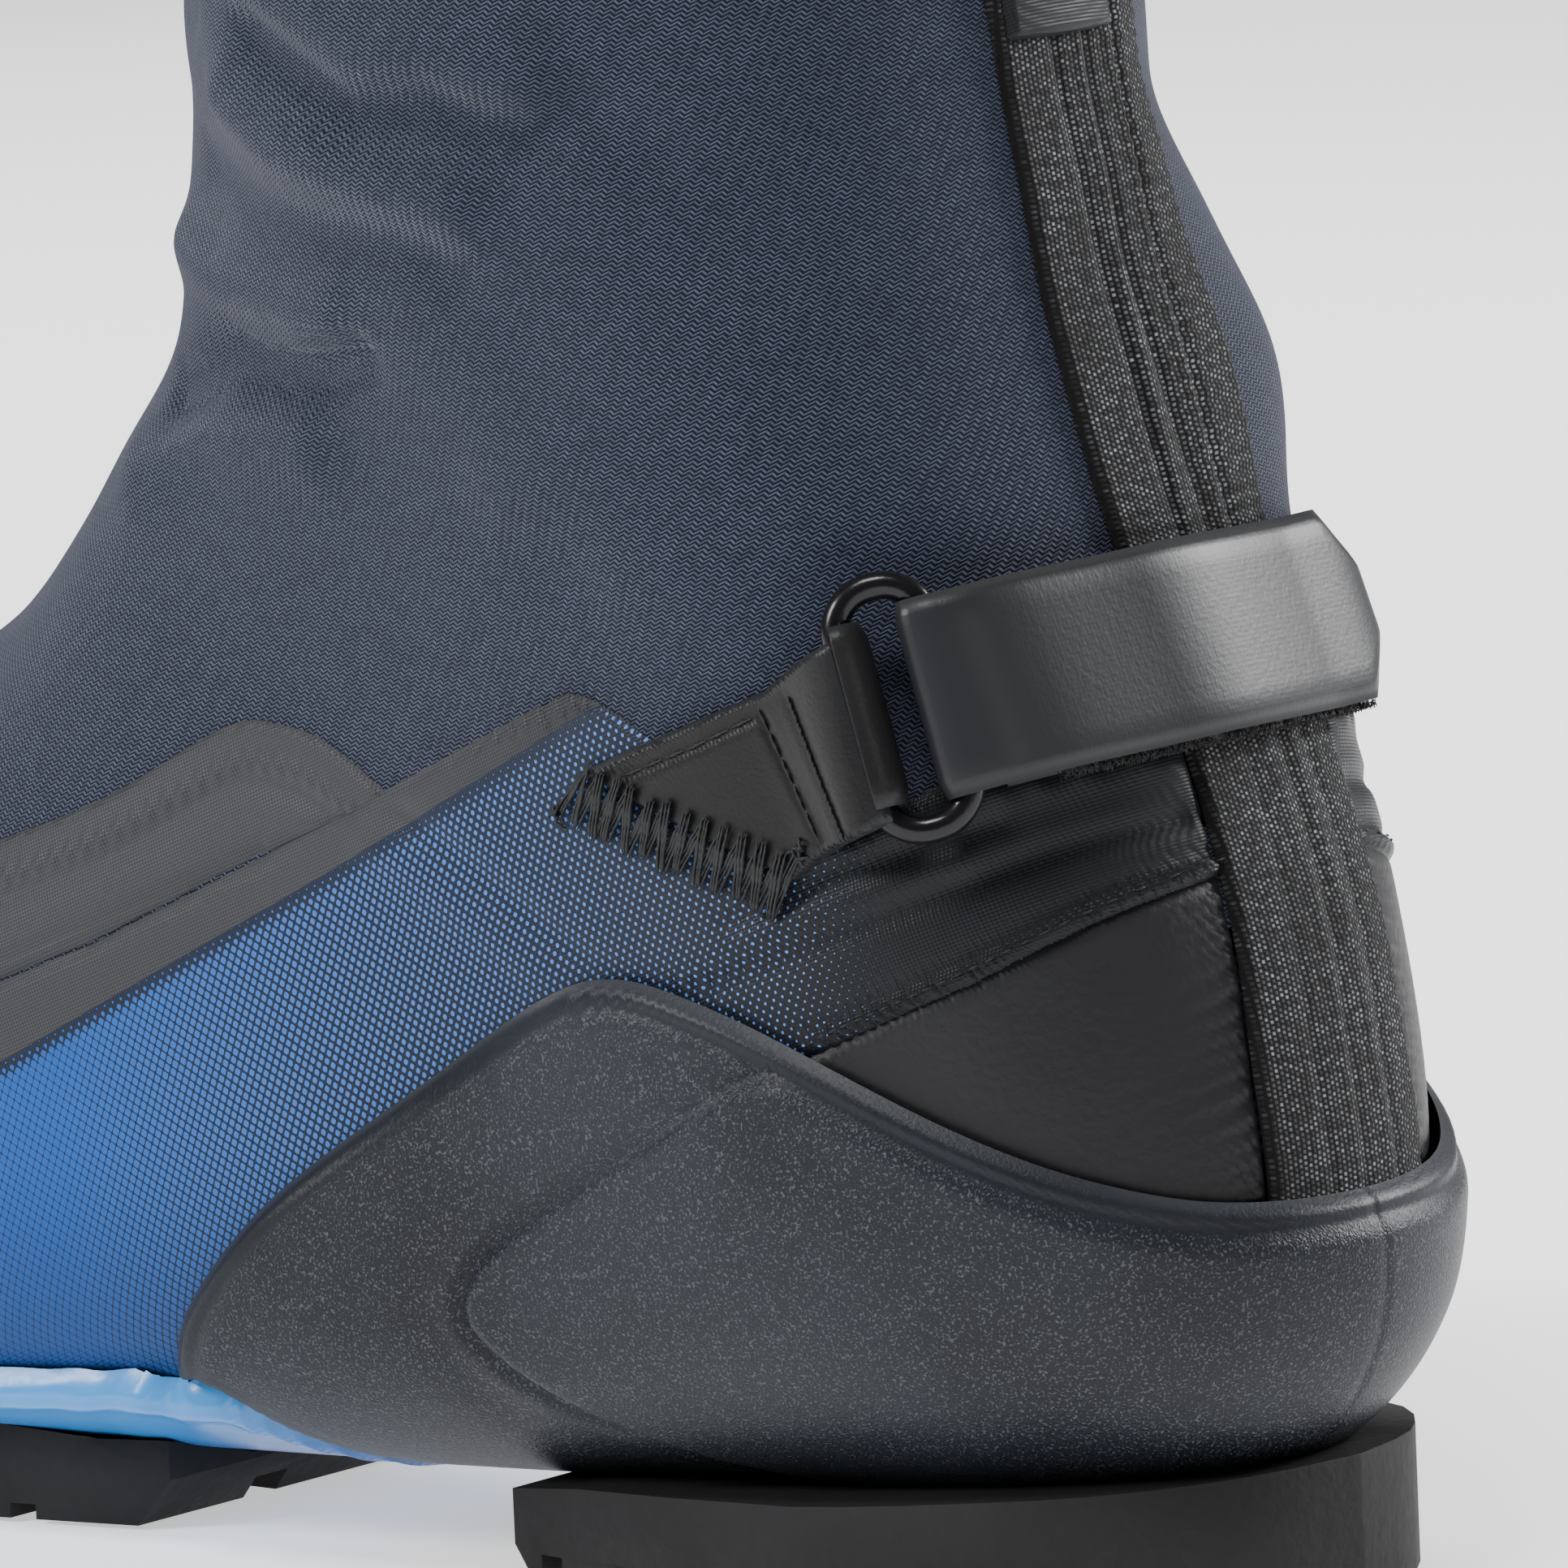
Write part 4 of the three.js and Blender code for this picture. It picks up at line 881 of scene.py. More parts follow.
def makeTape():
    grid = layOut(9.5, 16.1, -0.42, 0.42, 0.4)

    def keep(p, a):
        return np.minimum.reduce([tapeHalf - fromTape(p), collarDrop(p) - 4.4, p[:, 2] - 36])

    def lift(p, a, depth):
        side = tapeHalf - fromTape(p)
        across = p[:, 1] + 3.2 * smoothstep(p[:, 2], 50, 90)
        crease = sum(h * np.exp(-((across - c - 0.7 * np.sin(p[:, 2] * 0.06 + c)) / w) ** 2)
                     for c, w, h in tapeCreases)
        fade = 0.45 + 0.55 * smoothstep(p[:, 2], 92, 120)
        rib = 0.1 * np.sin(p[:, 2] * 2 * pi / 1.8 + 0.5 * np.sin(across * 0.4)) * smoothstep(-across, -2, 6)
        fold = foldHeight(p, a) * smoothstep(p[:, 2], 92, 104)
        return roundEdge(side, 0.3, 1.5, 0.9) + crease * fade + rib + fold

    tape = trimmed("backTape", grid, keep, lift, ribbedTape)
    settle(tape, "boot", "webbing", "back_tape")


def makeCup():
    grid = layOut(5.4, 11.7, -pi * 0.98, pi * 0.98, 0.6)

    def keep(p, a):
        return depthIn(p[:, 0], p[:, 2], cupOutline)

    def lift(p, a, depth):
        x, z = p[:, 0], p[:, 2]
        rim = lineDistance(x, z, cupRim)
        parting = 0.35 * np.exp(-((p[:, 1] - 1.2) / 0.3) ** 2) * (x < 0)
        groove = lineDistance(x, z, cupGroove)
        inner = depthIn(x, z, np.vstack([[(-1.5, 66)], cupGroove, [(-60, 13.6), (-60, 66)]]))
        cheek = 0.75 * smoothstep(inner, -0.3, 1.6) - 0.3 * np.exp(-((inner + 4) / 3) ** 2)
        band = 0.45 * smoothstep(rim, 2.2, 3.6) - 0.25 * np.exp(-((rim - 2.6) / 0.9) ** 2)
        swell = 0.8 * smoothstep(rim, 3, 14)
        line = 1.1 * np.exp(-(groove / 0.85) ** 2) * smoothstep(rim, 1.5, 4)
        foot = 0.7 * np.exp(-((z - 9.3) / 3.0) ** 2)
        rolled = 1.2 + 2.2 * smoothstep(np.minimum(rim, depth), -0.7, 1.5)
        return rolled + band + swell + cheek * smoothstep(rim, 1.5, 5) - line - parting - foot * (depth < 4)

    cup = trimmed("heelCup", grid, keep, lift, cupPlastic)
    settle(cup, "boot", "cup", "heel_cup")


def makeChassis():
    grid = layOut(0.0, 9.4, -pi, pi, 0.95)

    def keep(p, a):
        hole = np.maximum(np.abs(p[:, 0] - 247) - 8.3, np.abs(p[:, 1] + 6) - 17.3)
        hole = np.where(p[:, 2] < 16, hole, 99)
        return np.minimum(depthIn(p[:, 0], p[:, 2], chassisOutline), hole)

    def lift(p, a, depth):
        x, z = p[:, 0], p[:, 2]
        top = lineDistance(x, z, chassisTop)
        side = smoothstep(np.abs(np.sin(a)), 0.55, 0.9)
        lip = 0.55 * np.exp(-((top - 1.3) / 0.8) ** 2)
        hollow = 0.55 * np.exp(-((top - 5.0) / 2.0) ** 2) * side
        flow = 0.18 * np.sin((x + z * 1.6) * 0.9) * side
        flow = flow * smoothstep(x, 60, 78) * (1 - smoothstep(x, 96, 112))
        tail = 1.2 * smoothstep(78 - x, 0, 16) * side
        return roundEdge(np.minimum(top, depth), 1.0, 4.1, 1.4) + lip - hollow + flow - tail

    chassis = trimmed("soleChassis", grid, keep, lift, skyPlastic)
    settle(chassis, "boot", "blue_plastic", "sole_chassis")


def makeToeCap():
    grid = layOut(0.0, 4.2, -pi, pi, 0.8)

    def keep(p, a):
        return depthIn(p[:, 0], p[:, 2], capOutline)

    def lift(p, a, depth):
        line = 0.35 * np.exp(-((depth - 5.5) / 0.6) ** 2) + 0.35 * np.exp(-((depth - 8.5) / 0.6) ** 2)
        return roundEdge(depth, 0.6, 2.6, 1.6) - line

    cap = trimmed("toeCap", grid, keep, lift, capRubber)
    tip = closeEnd(cap)
    settle(tip, "boot", "rubber", "toe_cap")


# the grid starts at a small ring round the toe's tip: this fills it
def closeEnd(piece):
    def fill(work):
        bmesh.ops.remove_doubles(work, verts=work.verts, dist=2e-5)
        front = max(v.co.x for v in work.verts)
        tip = [e for e in work.edges if e.is_boundary and all(v.co.x > front - 0.004 for v in e.verts)]
        bmesh.ops.holes_fill(work, edges=tip, sides=400)
        bmesh.ops.triangulate(work, faces=[f for f in work.faces if len(f.verts) > 4])
        for f in work.faces:
            f.smooth = True

    return reworked(piece, fill)


# a CAD solid whose shape is right: merged, with softened edges and a real finish
def refined(node, name, material, slot, body="boot", bevel=0.35, segments=2, angle=32):
    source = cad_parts[node]
    mesh = source.data.copy()
    mesh.name = name
    piece = placed(name, mesh)

    def merge(work):
        bmesh.ops.remove_doubles(work, verts=work.verts, dist=2e-5)
        bmesh.ops.dissolve_limit(work, angle_limit=math.radians(1.5), verts=work.verts, edges=work.edges)

    reworked(piece, merge)
    mesh.materials.clear()
    mesh.materials.append(material)
    mesh.transform(source.matrix_world)
    if bevel:
        soften = piece.modifiers.new("bevel", "BEVEL")
        soften.width = bevel * mm
        soften.segments = segments
        soften.limit_method = "ANGLE"
        soften.angle_limit = math.radians(angle)
        soften.use_clamp_overlap = True
        applied(piece)
    smooth(piece.data)
    piece.data.set_sharp_from_angle(angle=math.radians(40))
    return settle(piece, body, slot, node)


def applied(piece):
    bpy.context.view_layer.update()
    shown = piece.evaluated_get(bpy.context.evaluated_depsgraph_get())
    mesh = bpy.data.meshes.new_from_object(shown)
    piece.modifiers.clear()
    piece.data = mesh
    return piece


def finishNodes():
    refined("outsole_forefoot", "outsoleForefoot", soleRubber, "rubber", bevel=0.5)
    refined("outsole_heel", "outsoleHeel", soleRubber, "rubber", bevel=0.6)
    refined("bar_holder", "barHolder", hardBlack, "hard_plastic", bevel=0.4)
    refined("toe_bar", "toeBar", barSteel, "steel", bevel=0.4, angle=50)
    refined("zip_stop", "zipStop", barSteel, "steel", bevel=0.3)
    refined("lace_lock", "laceLock", hardBlack, "hard_plastic", "lock", 0.6)
    refined("lace_lock_button", "laceLockButton", strapSatin, "strap_face", "lock_button", 0.5)
    plain = {"lasting_board": boardFibre, "footbed": lining, "inner_quarter_lateral": panelSkin,
             "inner_quarter_medial": panelSkin, "heel_counter": hardBlack, "toe_puff": hardBlack,
             "lace_guides_lateral": hardBlack, "lace_guides_medial": hardBlack, "lace": lacePaint,
             "lace_lock_spring": barSteel}
    for node, material in plain.items():
        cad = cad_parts[node]
        for k in range(len(cad.material_slots)):
            cad.material_slots[k].material = material


def makeLiner():
    grid = layOut(3.0, 16.1, -pi, pi, 2.0)

    def keep(p, a):
        front = np.where((p[:, 0] > 70) & (p[:, 2] > 60), np.abs(p[:, 1]) - 18, 99)
        return np.minimum(collarDrop(p) - 9, front)

    outer = trimmed("linerOuter", grid, keep, lambda p, a, d: roundEdge(d, -4.9, -3.8, 1.2), lining)
    inner = trimmed("linerInner", grid, keep, lambda p, a, d: roundEdge(d, -4.9, -6.0, 1.2), lining,
                    flip=True)
    piece = joined("ankleLiner", outer, inner)
    settle(piece, "boot", "lining", "liner")


def makeTongue():
    grid = layOut(4.6, 16.0, pi - 0.75, pi + 0.75, 1.4)

    def keep(p, a):
        return np.minimum.reduce([24 - np.abs(p[:, 1]), collarDrop(p) - 9, 152 - p[:, 0]])

    def padded(top, way):
        def lift(p, a, d):
            return roundEdge(d, -11, top, 2.0) + way * 0.2 * np.abs(np.sin(p[:, 1] * pi / 12)) ** 0.5
        return lift

    outer = trimmed("tongueOuter", grid, keep, padded(-9.9, 1), lining)
    inner = trimmed("tongueInner", grid, keep, padded(-12.1, -1), lining, flip=True)
    piece = joined("paddedTongue", outer, inner)
    settle(piece, "boot", "lining", "tongue")


def joined(name, *parts):
    work = bmesh.new()
    for part in parts:
        work.from_mesh(part.data)
    bmesh.ops.remove_doubles(work, verts=work.verts, dist=3e-5)
    parts[0].data.clear_geometry()
    work.to_mesh(parts[0].data)
    work.free()
    first = parts[0]
    first.name = first.data.name = name
    for part in parts[1:]:
        bpy.data.objects.remove(part)
    smooth(first.data)
    return first


strapLook = {"backX": -21.5, "backZ": 95.3, "tilt": math.radians(15), "half": 10.0, "thick": 1.2,
             "ringAngle": 51}
ringLook = {"wire": 1.4, "spacing": 9.2, "inside": 21.6, "lift": 4.9, "corner": 4.4}


def strapPoint(degrees, across, off):
    a = np.radians(np.asarray(degrees, float))
    across = np.asarray(across, float)
    a, across = np.broadcast_arrays(a, across)
    low, high = np.full(a.shape, 8.0), np.full(a.shape, 15.0)
    s, c = math.sin(strapLook["tilt"]), math.cos(strapLook["tilt"])
    for _ in range(34):
        t = (low + high) / 2
        p = onLast(t, a)
        under = (p[..., 0] - strapLook["backX"]) * s + (p[..., 2] - strapLook["backZ"]) * c < across
        low, high = np.where(under, t, low), np.where(under, high, t)
    return onLast(low, a) + normalAt(low, a) * np.asarray(off)[..., None]


def ringMatrix():
    at = lambda d, off: strapPoint([d], [0.0], np.array([off]))[0]
    angle, lift = strapLook["ringAngle"], ringLook["lift"]
    centre = at(angle, lift)
    toBack = unit(at(angle - 8, lift) - at(angle + 8, lift))
    up = unit(np.cross(unit(at(angle, lift + 1) - centre), toBack))
    out = np.cross(toBack, up)
    return np.array([toBack, up, out]).T, centre


ringAxes, ringCentre = ringMatrix()


def fromRing(points):
    return np.asarray(points, float) @ ringAxes.T + ringCentre


# A band with rounded edges: each station gives centre, across and out directions.
def bandMesh(name, centres, across, out, half, thick, material, taper=None):
    count, ringSize = len(centres), 20
    points, u, v, edge = [], [], [], []
    run = arcLength(np.linalg.norm(np.diff(centres, axis=0), axis=1), 0)
    for k in range(count):
        wide = half if taper is None else half * taper[k]
        for j in range(ringSize):
            side = 1 if j < ringSize // 2 else -1
            f = side * (2 * (j % (ringSize // 2)) / (ringSize // 2 - 1) - 1)
            shaped = math.copysign(abs(f) ** 0.75, f)
            thin = thick / 2 * math.sqrt(max(1 - abs(shaped) ** 14, 0.02))
            points.append(centres[k] + across[k] * wide * shaped + out[k] * thin * side)
            u.append(run[k])
            v.append(shaped * half)
            edge.append((1 - abs(shaped)) * half if side > 0 else 0)
    piece = meshPiece(name, points, tube(count, ringSize), material, np.array(u), np.array(v), np.array(edge))
    return reworked(piece, faceOut)


def alongStrap(degrees, lift):
    degrees = np.asarray(degrees, float)
    middle = strapPoint(degrees, 0.0 * degrees, lift)
    top = strapPoint(degrees, 0 * degrees + 3, lift)
    bottom = strapPoint(degrees, 0 * degrees - 3, lift)
    across = unit(top - bottom)
    along = unit(np.gradient(middle, axis=0))
    out = unit(np.cross(across, along))
    outwards = unit(strapPoint(degrees, 0 * degrees, lift + 1) - middle)
    out = out * np.sign((out * outwards).sum(1))[:, None]
    return middle, across, out


def makeStrap():
    s = strapLook
    angles = np.linspace(41, -84, 120)
    lift = 2.2 + 0.9 * smoothstep(-angles, 5, 25)
    centres, across, out = alongStrap(angles, lift)
    run = bandMesh("strapRun", centres, across, out, s["half"] - 0.2, s["thick"], strapSatin)
    settle(run, "boot", "strap_face", "strap_run")

    # the tail: folded round the ring's far bar, then back over the run to its tip
    reach = ringLook["spacing"] / 2
    radius = ringLook["wire"] + 0.55 + s["thick"] / 2
    turn = np.linspace(1.5 * pi + 0.25, 0.5 * pi + 0.35, 18)
    fold = fromRing(np.stack([reach + radius * np.cos(turn), 0 * turn, radius * np.sin(turn)], 1))
    foldAcross = np.repeat(ringAxes[:, 1][None], 18, 0)
    foldOut = (np.stack([np.cos(turn), 0 * turn, np.sin(turn)], 1)) @ ringAxes.T
    back = np.linspace(41.5, -32, 74)
    high = 4.2 + 3.3 * smoothstep(back, 14, 43) + 0.3 * np.sin(back * 0.16) + 2.2 * smoothstep(-back, 16, 34)
    centres, across, out = alongStrap(back, high)
    centres = np.vstack([fold, centres])
    across = np.vstack([foldAcross, across * np.sign((across @ ringAxes[:, 1]))[:, None]])
    out = np.vstack([foldOut, out])
    for _ in range(8):
        centres[15:27] = 0.25 * centres[14:26] + 0.5 * centres[15:27] + 0.25 * centres[16:28]
        out[15:27] = unit(0.25 * out[14:26] + 0.5 * out[15:27] + 0.25 * out[16:28])
    taper = np.concatenate([np.ones(len(centres) - 7), np.linspace(1, 0.42, 7)])
    tail = bandMesh("strapTail", centres, across, out, s["half"], s["thick"], strapSatin, taper)
    settle(tail, "strap_tail", "strap_face", "strap_end")

    # loop pile under the tail's end
    angles = np.linspace(34, -29, 60)
    rise = 3.1 + 3.0 * smoothstep(angles, 16, 43) + 2.2 * smoothstep(-angles, 16, 34)
    centres, across, out = alongStrap(angles, rise)
    taper = np.concatenate([np.ones(54), np.linspace(1, 0.7, 6)])
    pile = bandMesh("loopPile", centres - across * 0.5, across, out, s["half"] - 0.1, 1.0, pileBlack, taper)
    settle(pile, "strap_tail", "webbing")
    rows = 900
    k = rng.integers(0, 58, rows)
    low = centres[k] - across[k] * (s["half"] + 0.35) + out[k] * rng.uniform(-0.6, 0.6, (rows, 1))
    aim = -across[k] * 1.0 + rng.normal(0, 0.55, (rows, 3)) - out[k] * 0.2
    low = low + unit(centres[k + 1] - centres[k]) * rng.uniform(-0.5, 0.5, (rows, 1))
    stitches("pileFuzz", low, aim, out[k], rng.uniform(0.5, 1.3, rows), 0.14, pileBlack,
             "strap_tail", "webbing")


def makeRing():
    r = ringLook
    w, h, corner = r["spacing"] / 2, r["inside"] / 2 + r["wire"], r["corner"]
    path = []
    for cx, cy, start in ((w - corner, h - corner, 0), (-w + corner, h - corner, 0.5 * pi),
                          (-w + corner, -h + corner, pi), (w - corner, -h + corner, 1.5 * pi)):
        for k in range(13):
            turn = start + k / 12 * pi / 2
            path.append((cx + corner * math.cos(turn), cy + corner * math.sin(turn)))
    path = np.array(path)
    ahead = unit(np.roll(path, -1, 0) - np.roll(path, 1, 0))
    sideways = np.stack([ahead[:, 1], -ahead[:, 0]], 1)
    points, ringSize = [], 16
    for p, s in zip(path, sideways):
        for j in range(ringSize):
            turn = 2 * pi * j / ringSize
            points.append((*(p + s * r["wire"] * math.cos(turn)), r["wire"] * math.sin(turn)))
    piece = meshPiece("strapRing", fromRing(points), tube(len(path), ringSize, True), wireEnamel)
    outward(piece)
    settle(piece, "ring", "black_metal", "strap_ring")


tabOutline = np.array([(26.4, 84.9), (18.2, 88.2), (4.0, 94.0), (0.6, 96.6), (-2.6, 98.6), (-9.2, 81.4),
                       (-5.4, 79.6), (-1.4, 77.4), (1.2, 75.4)])


# the tab's outer face climbs to the ring's near bar
def tabTop(p):
    beyond = -((p - ringCentre) @ ringAxes[:, 0]) - ringLook["spacing"] / 2
    return 2.2 + 5.85 * np.exp(-(np.maximum(beyond, 0) / 4.6) ** 2)


tabSeams = [[(20.4, 85.0), (11.1, 88.6), (3.9, 91.9), (-2.3, 79.4)], [(0.9, 93.6), (-5.2, 80.6)]]


def makeTab():
    grid = layOut(9.0, 13.0, 0.5, 2.1, 0.4)

    def keep(p, a):
        return depthIn(p[:, 0], p[:, 2], tabOutline)

    def lift(p, a, depth):
        top = tabTop(p)
        dents = sum(np.exp(-(lineDistance(p[:, 0], p[:, 2], line) / 0.6) ** 2) for line in tabSeams)
        return roundEdge(depth, np.maximum(top - 1.5, 0.9), top, 0.6) - 0.35 * dents

    tab = trimmed("anchorTab", grid, keep, lift, tabLeather)
    settle(tab, "boot", "grey_film", "strap_anchor_tab")

    reach = -ringLook["spacing"] / 2
    radius = ringLook["wire"] + 0.5 + 0.65
    turn = np.linspace(-0.62 * pi, 0.56 * pi, 44)
    line = np.stack([reach + radius * np.cos(turn), 0 * turn, radius * np.sin(turn)], 1)
    out = np.gradient(line, axis=0)
    out = unit(np.stack([out[:, 2], out[:, 1] * 0, -out[:, 0]], 1))
    across = np.repeat(ringAxes[:, 1][None], len(line), 0)
    piece = bandMesh("tabLoop", fromRing(line), across, out @ ringAxes.T, 9.2, 1.2, tabLeather)
    settle(piece, "boot", "grey_film")


def stitchObject(name, length, thick, material):
    points = []
    rings, ringSize = 9, 6
    for k in range(rings):
        f = -1 + 2 * k / (rings - 1)
        r = thick / 2 * math.sqrt(max(1 - abs(f) ** 4, 0.03))
        for j in range(ringSize):
            turn = 2 * pi * j / ringSize
            y, z = r * math.cos(turn), r * 0.68 * math.sin(turn)
            c, w = math.cos(k * 0.8), math.sin(k * 0.8)
            y, z = y * c - z * w, y * w + z * c
            points.append((f * length / 2, y, z + thick * 0.35 * (1 - f * f)))
    return outward(meshPiece(name, points, tube(rings, ringSize), material))


# a stitch on each point, turned by the points' own aim and out, stretched to their size
def stitchTree(material):
    tree = bpy.data.node_groups.new("stitchRow", "GeometryNodeTree")
    for name, way, kind in (("Geometry", "INPUT", "Geometry"), ("Stitch", "INPUT", "Object"),
                            ("Thickness", "INPUT", "Float"), ("Geometry", "OUTPUT", "Geometry")):
        tree.interface.new_socket(name, in_out=way, socket_type="NodeSocket" + kind)
    kinds = {"start": "NodeGroupInput", "end": "NodeGroupOutput", "aim": "GeometryNodeInputNamedAttribute",
             "out": "GeometryNodeInputNamedAttribute", "size": "GeometryNodeInputNamedAttribute",
             "first": "FunctionNodeAlignRotationToVector", "second": "FunctionNodeAlignRotationToVector",
             "source": "GeometryNodeObjectInfo", "stretch": "ShaderNodeCombineXYZ",
             "place": "GeometryNodeInstanceOnPoints", "real": "GeometryNodeRealizeInstances",
             "paint": "GeometryNodeSetMaterial"}
    made = {name: tree.nodes.new(kind) for name, kind in kinds.items()}
    for word, kind in (("aim", "FLOAT_VECTOR"), ("out", "FLOAT_VECTOR"), ("size", "FLOAT")):
        made[word].data_type = kind
        made[word].inputs[0].default_value = word
    made["first"].axis, made["second"].axis, made["second"].pivot_axis = "X", "Z", "X"
    made["paint"].inputs["Material"].default_value = material
    for one, output, two, target in (
            ("aim", 0, "first", "Vector"), ("first", 0, "second", "Rotation"), ("out", 0, "second", "Vector"),
            ("start", "Stitch", "source", "Object"), ("start", "Geometry", "place", "Points"),
            ("source", "Geometry", "place", "Instance"), ("second", 0, "place", "Rotation"),
            ("size", 0, "stretch", 0), ("start", "Thickness", "stretch", 1),
            ("start", "Thickness", "stretch", 2), ("stretch", 0, "place", "Scale"), ("place", 0, "real", 0),
            ("real", 0, "paint", "Geometry"), ("paint", 0, "end", 0)):
        tree.links.new(made[one].outputs[output], made[two].inputs[target])
    return tree


# One stitch for each centre: aim and out are directions, size is its length in mm.
def stitches(name, centres, aim, out, size, thickness, material, body, slot):
    centres, aim, out = (np.asarray(v, float) for v in (centres, aim, out))
    size = np.broadcast_to(np.asarray(size, float), (len(centres),))
    mesh = bpy.data.meshes.new(name)
    mesh.from_pydata((centres * mm).tolist(), [], [])
    for word, values in (("aim", aim), ("out", out)):
        attribute = mesh.attributes.new(word, "FLOAT_VECTOR", "POINT")
        attribute.data.foreach_set("vector", unit(values).astype(np.float32).ravel())
    mesh.attributes.new("size", "FLOAT", "POINT").data.foreach_set("value", size.astype(np.float32))
    piece = placed(name, mesh)
    single = stitchObject(name + "One", 1.0, 1.0, material)
    modifier = piece.modifiers.new("stitches", "NODES")
    modifier.node_group = stitchTree(material)
    face = modifier.node_group.interface.items_tree
    sockets = {item.name: item.identifier for item in face if item.in_out == "INPUT"}
    modifier[sockets["Stitch"]] = single
    modifier[sockets["Thickness"]] = float(thickness)
    applied(piece)
    bpy.data.objects.remove(single)
    smooth(piece.data)
    return settle(piece, body, slot)


# Points every spacing mm along a side-view line, and the points ahead mm further on.
def evenly(line, first, spacing, ahead):
    line = np.asarray(line, float)
    run = arcLength(np.hypot(*np.diff(line, axis=0).T), 0)
    at = np.arange(first, run[-1], spacing)
    return [np.interp(at + shift, run, line[:, k]) for shift in (0, ahead) for k in (0, 1)]


# stitches along a side-view line on the last, `off` mm above it
def seamStitches(name, line, off, length, spacing, thickness, material, slot, side=1):
    x, z, x2, z2 = evenly(line, spacing / 2, spacing, 0.4)
    t, a = onSide(x, z, side)
    t2, a2 = onSide(x2, z2, side)
    out = normalAt(t, a)
    p = onLast(t, a) + out * off
    aim = onLast(t2, a2) + out * off - p
    return stitches(name, p, aim, out, length, thickness, material, "boot", slot)


def onTab(x, z, rise=0.0):
    x, z = np.asarray(x, float), np.asarray(z, float)
    t, a = onSide(x, z)
    onTop = smoothstep(depthIn(x, z, tabOutline), -0.9, 0.2)
    base = onLast(t, a)
    height = 0.8 + onTop * (tabTop(base) - 0.8) + rise
    return base + normalAt(t, a) * height[..., None], normalAt(t, a)


def makeZigzag():
    # legs of three strands that swing between the tab's lower edge and a line inside it
    upper = np.array([(26.4, 86.4), (-0.6, 77.9)])
    lower = np.array([(31.0, 80.2), (2.2, 71.0)])
    turns, strands, gapBetween = 13, 3, 0.36
    corners = []
    for k in range(2 * turns):
        f = (k + 0.5) / (2 * turns)
        end = lower if k % 2 == 0 else upper
        corners.append(end[0] * (1 - f) + end[1] * f + rng.normal(0, 0.22, 2))
    corners = np.array(corners)
    centres, aims, outs, sizes = [], [], [], []
    for k in range(len(corners) - 1):
        one, two = corners[k], corners[k + 1]
        side = unit(np.array([one[1] - two[1], two[0] - one[0]]))
        for strand in range(strands):
            shift = (strand - 1) * gapBetween
            start = one + side * (shift * 1.15 + rng.normal(0, 0.06))
            end = two + side * (shift * 0.8 + rng.normal(0, 0.06))
            height = 0.3 + 0.25 * (k % 2) + rng.uniform(0, 0.1)
            p, out = onTab([start[0], end[0]], [start[1], end[1]], height)
            centres.append(p.mean(0))
            aims.append(p[1] - p[0])
            outs.append(out.mean(0))
            sizes.append(np.linalg.norm(p[1] - p[0]) * 1.06)
    stitches("anchorZigzag", centres, aims, outs, sizes, 0.5, blackThread, "boot", "webbing")
    for one in (corners[0], corners[-1]):
        p, out = onTab(one[0] + rng.normal(0, 0.5, 8), one[1] + rng.normal(0, 0.5, 8), 0.3)
        stitches("zigzagKnot", p, rng.normal(0, 1, (8, 3)), out, 1.6, 0.45, blackThread, "boot", "webbing")
    for name, line, length, spacing, thick in (("tabStitchOuter", tabSeams[0], 2.7, 2.85, 0.36),
                                               ("tabStitchInner", tabSeams[1], 1.7, 1.35, 0.55)):
        x, z, x2, z2 = evenly(line, length / 2, spacing, 0.5)
        p, out = onTab(x, z, -0.25)
        q, _ = onTab(x2, z2, -0.25)
        stitches(name, p, q - p, out, length, thick, blackThread, "boot", "webbing")


def makeSeams():
    def offset(line, by):
        return line + by * unit(np.stack([-np.gradient(line[:, 1]), np.gradient(line[:, 0])], 1))

    for word, side in (("lateral", 1), ("medial", -1)):
        edge = smoothCurve(panelEdge[1:4], 8)
        rows = {"panelSeam": (offset(edge, 1.4), 1.2, 1.2, 1.5, 0.25),
                "filmSeam": (offset(peakLine[2:24], -1.5), 0.9, 1.0, 1.6, 0.2)}
        for name, row in rows.items():
            seamStitches(f"{name}_{word}", *row, blackThread, "webbing", side)


zipLook = {"pitch": 1.5, "lean": math.atan(6.9 / 63), "x": 104.5, "z": 127, "run": 62, "half": 10.2}


def shinPoints(local):
    lean = zipLook["lean"]
    local = np.asarray(local, float)
    x = zipLook["x"] + local[..., 0] * math.cos(lean) - local[..., 2] * math.sin(lean)
    z = zipLook["z"] + local[..., 0] * math.sin(lean) + local[..., 2] * math.cos(lean)
    return np.stack([x, local[..., 1], z], -1)


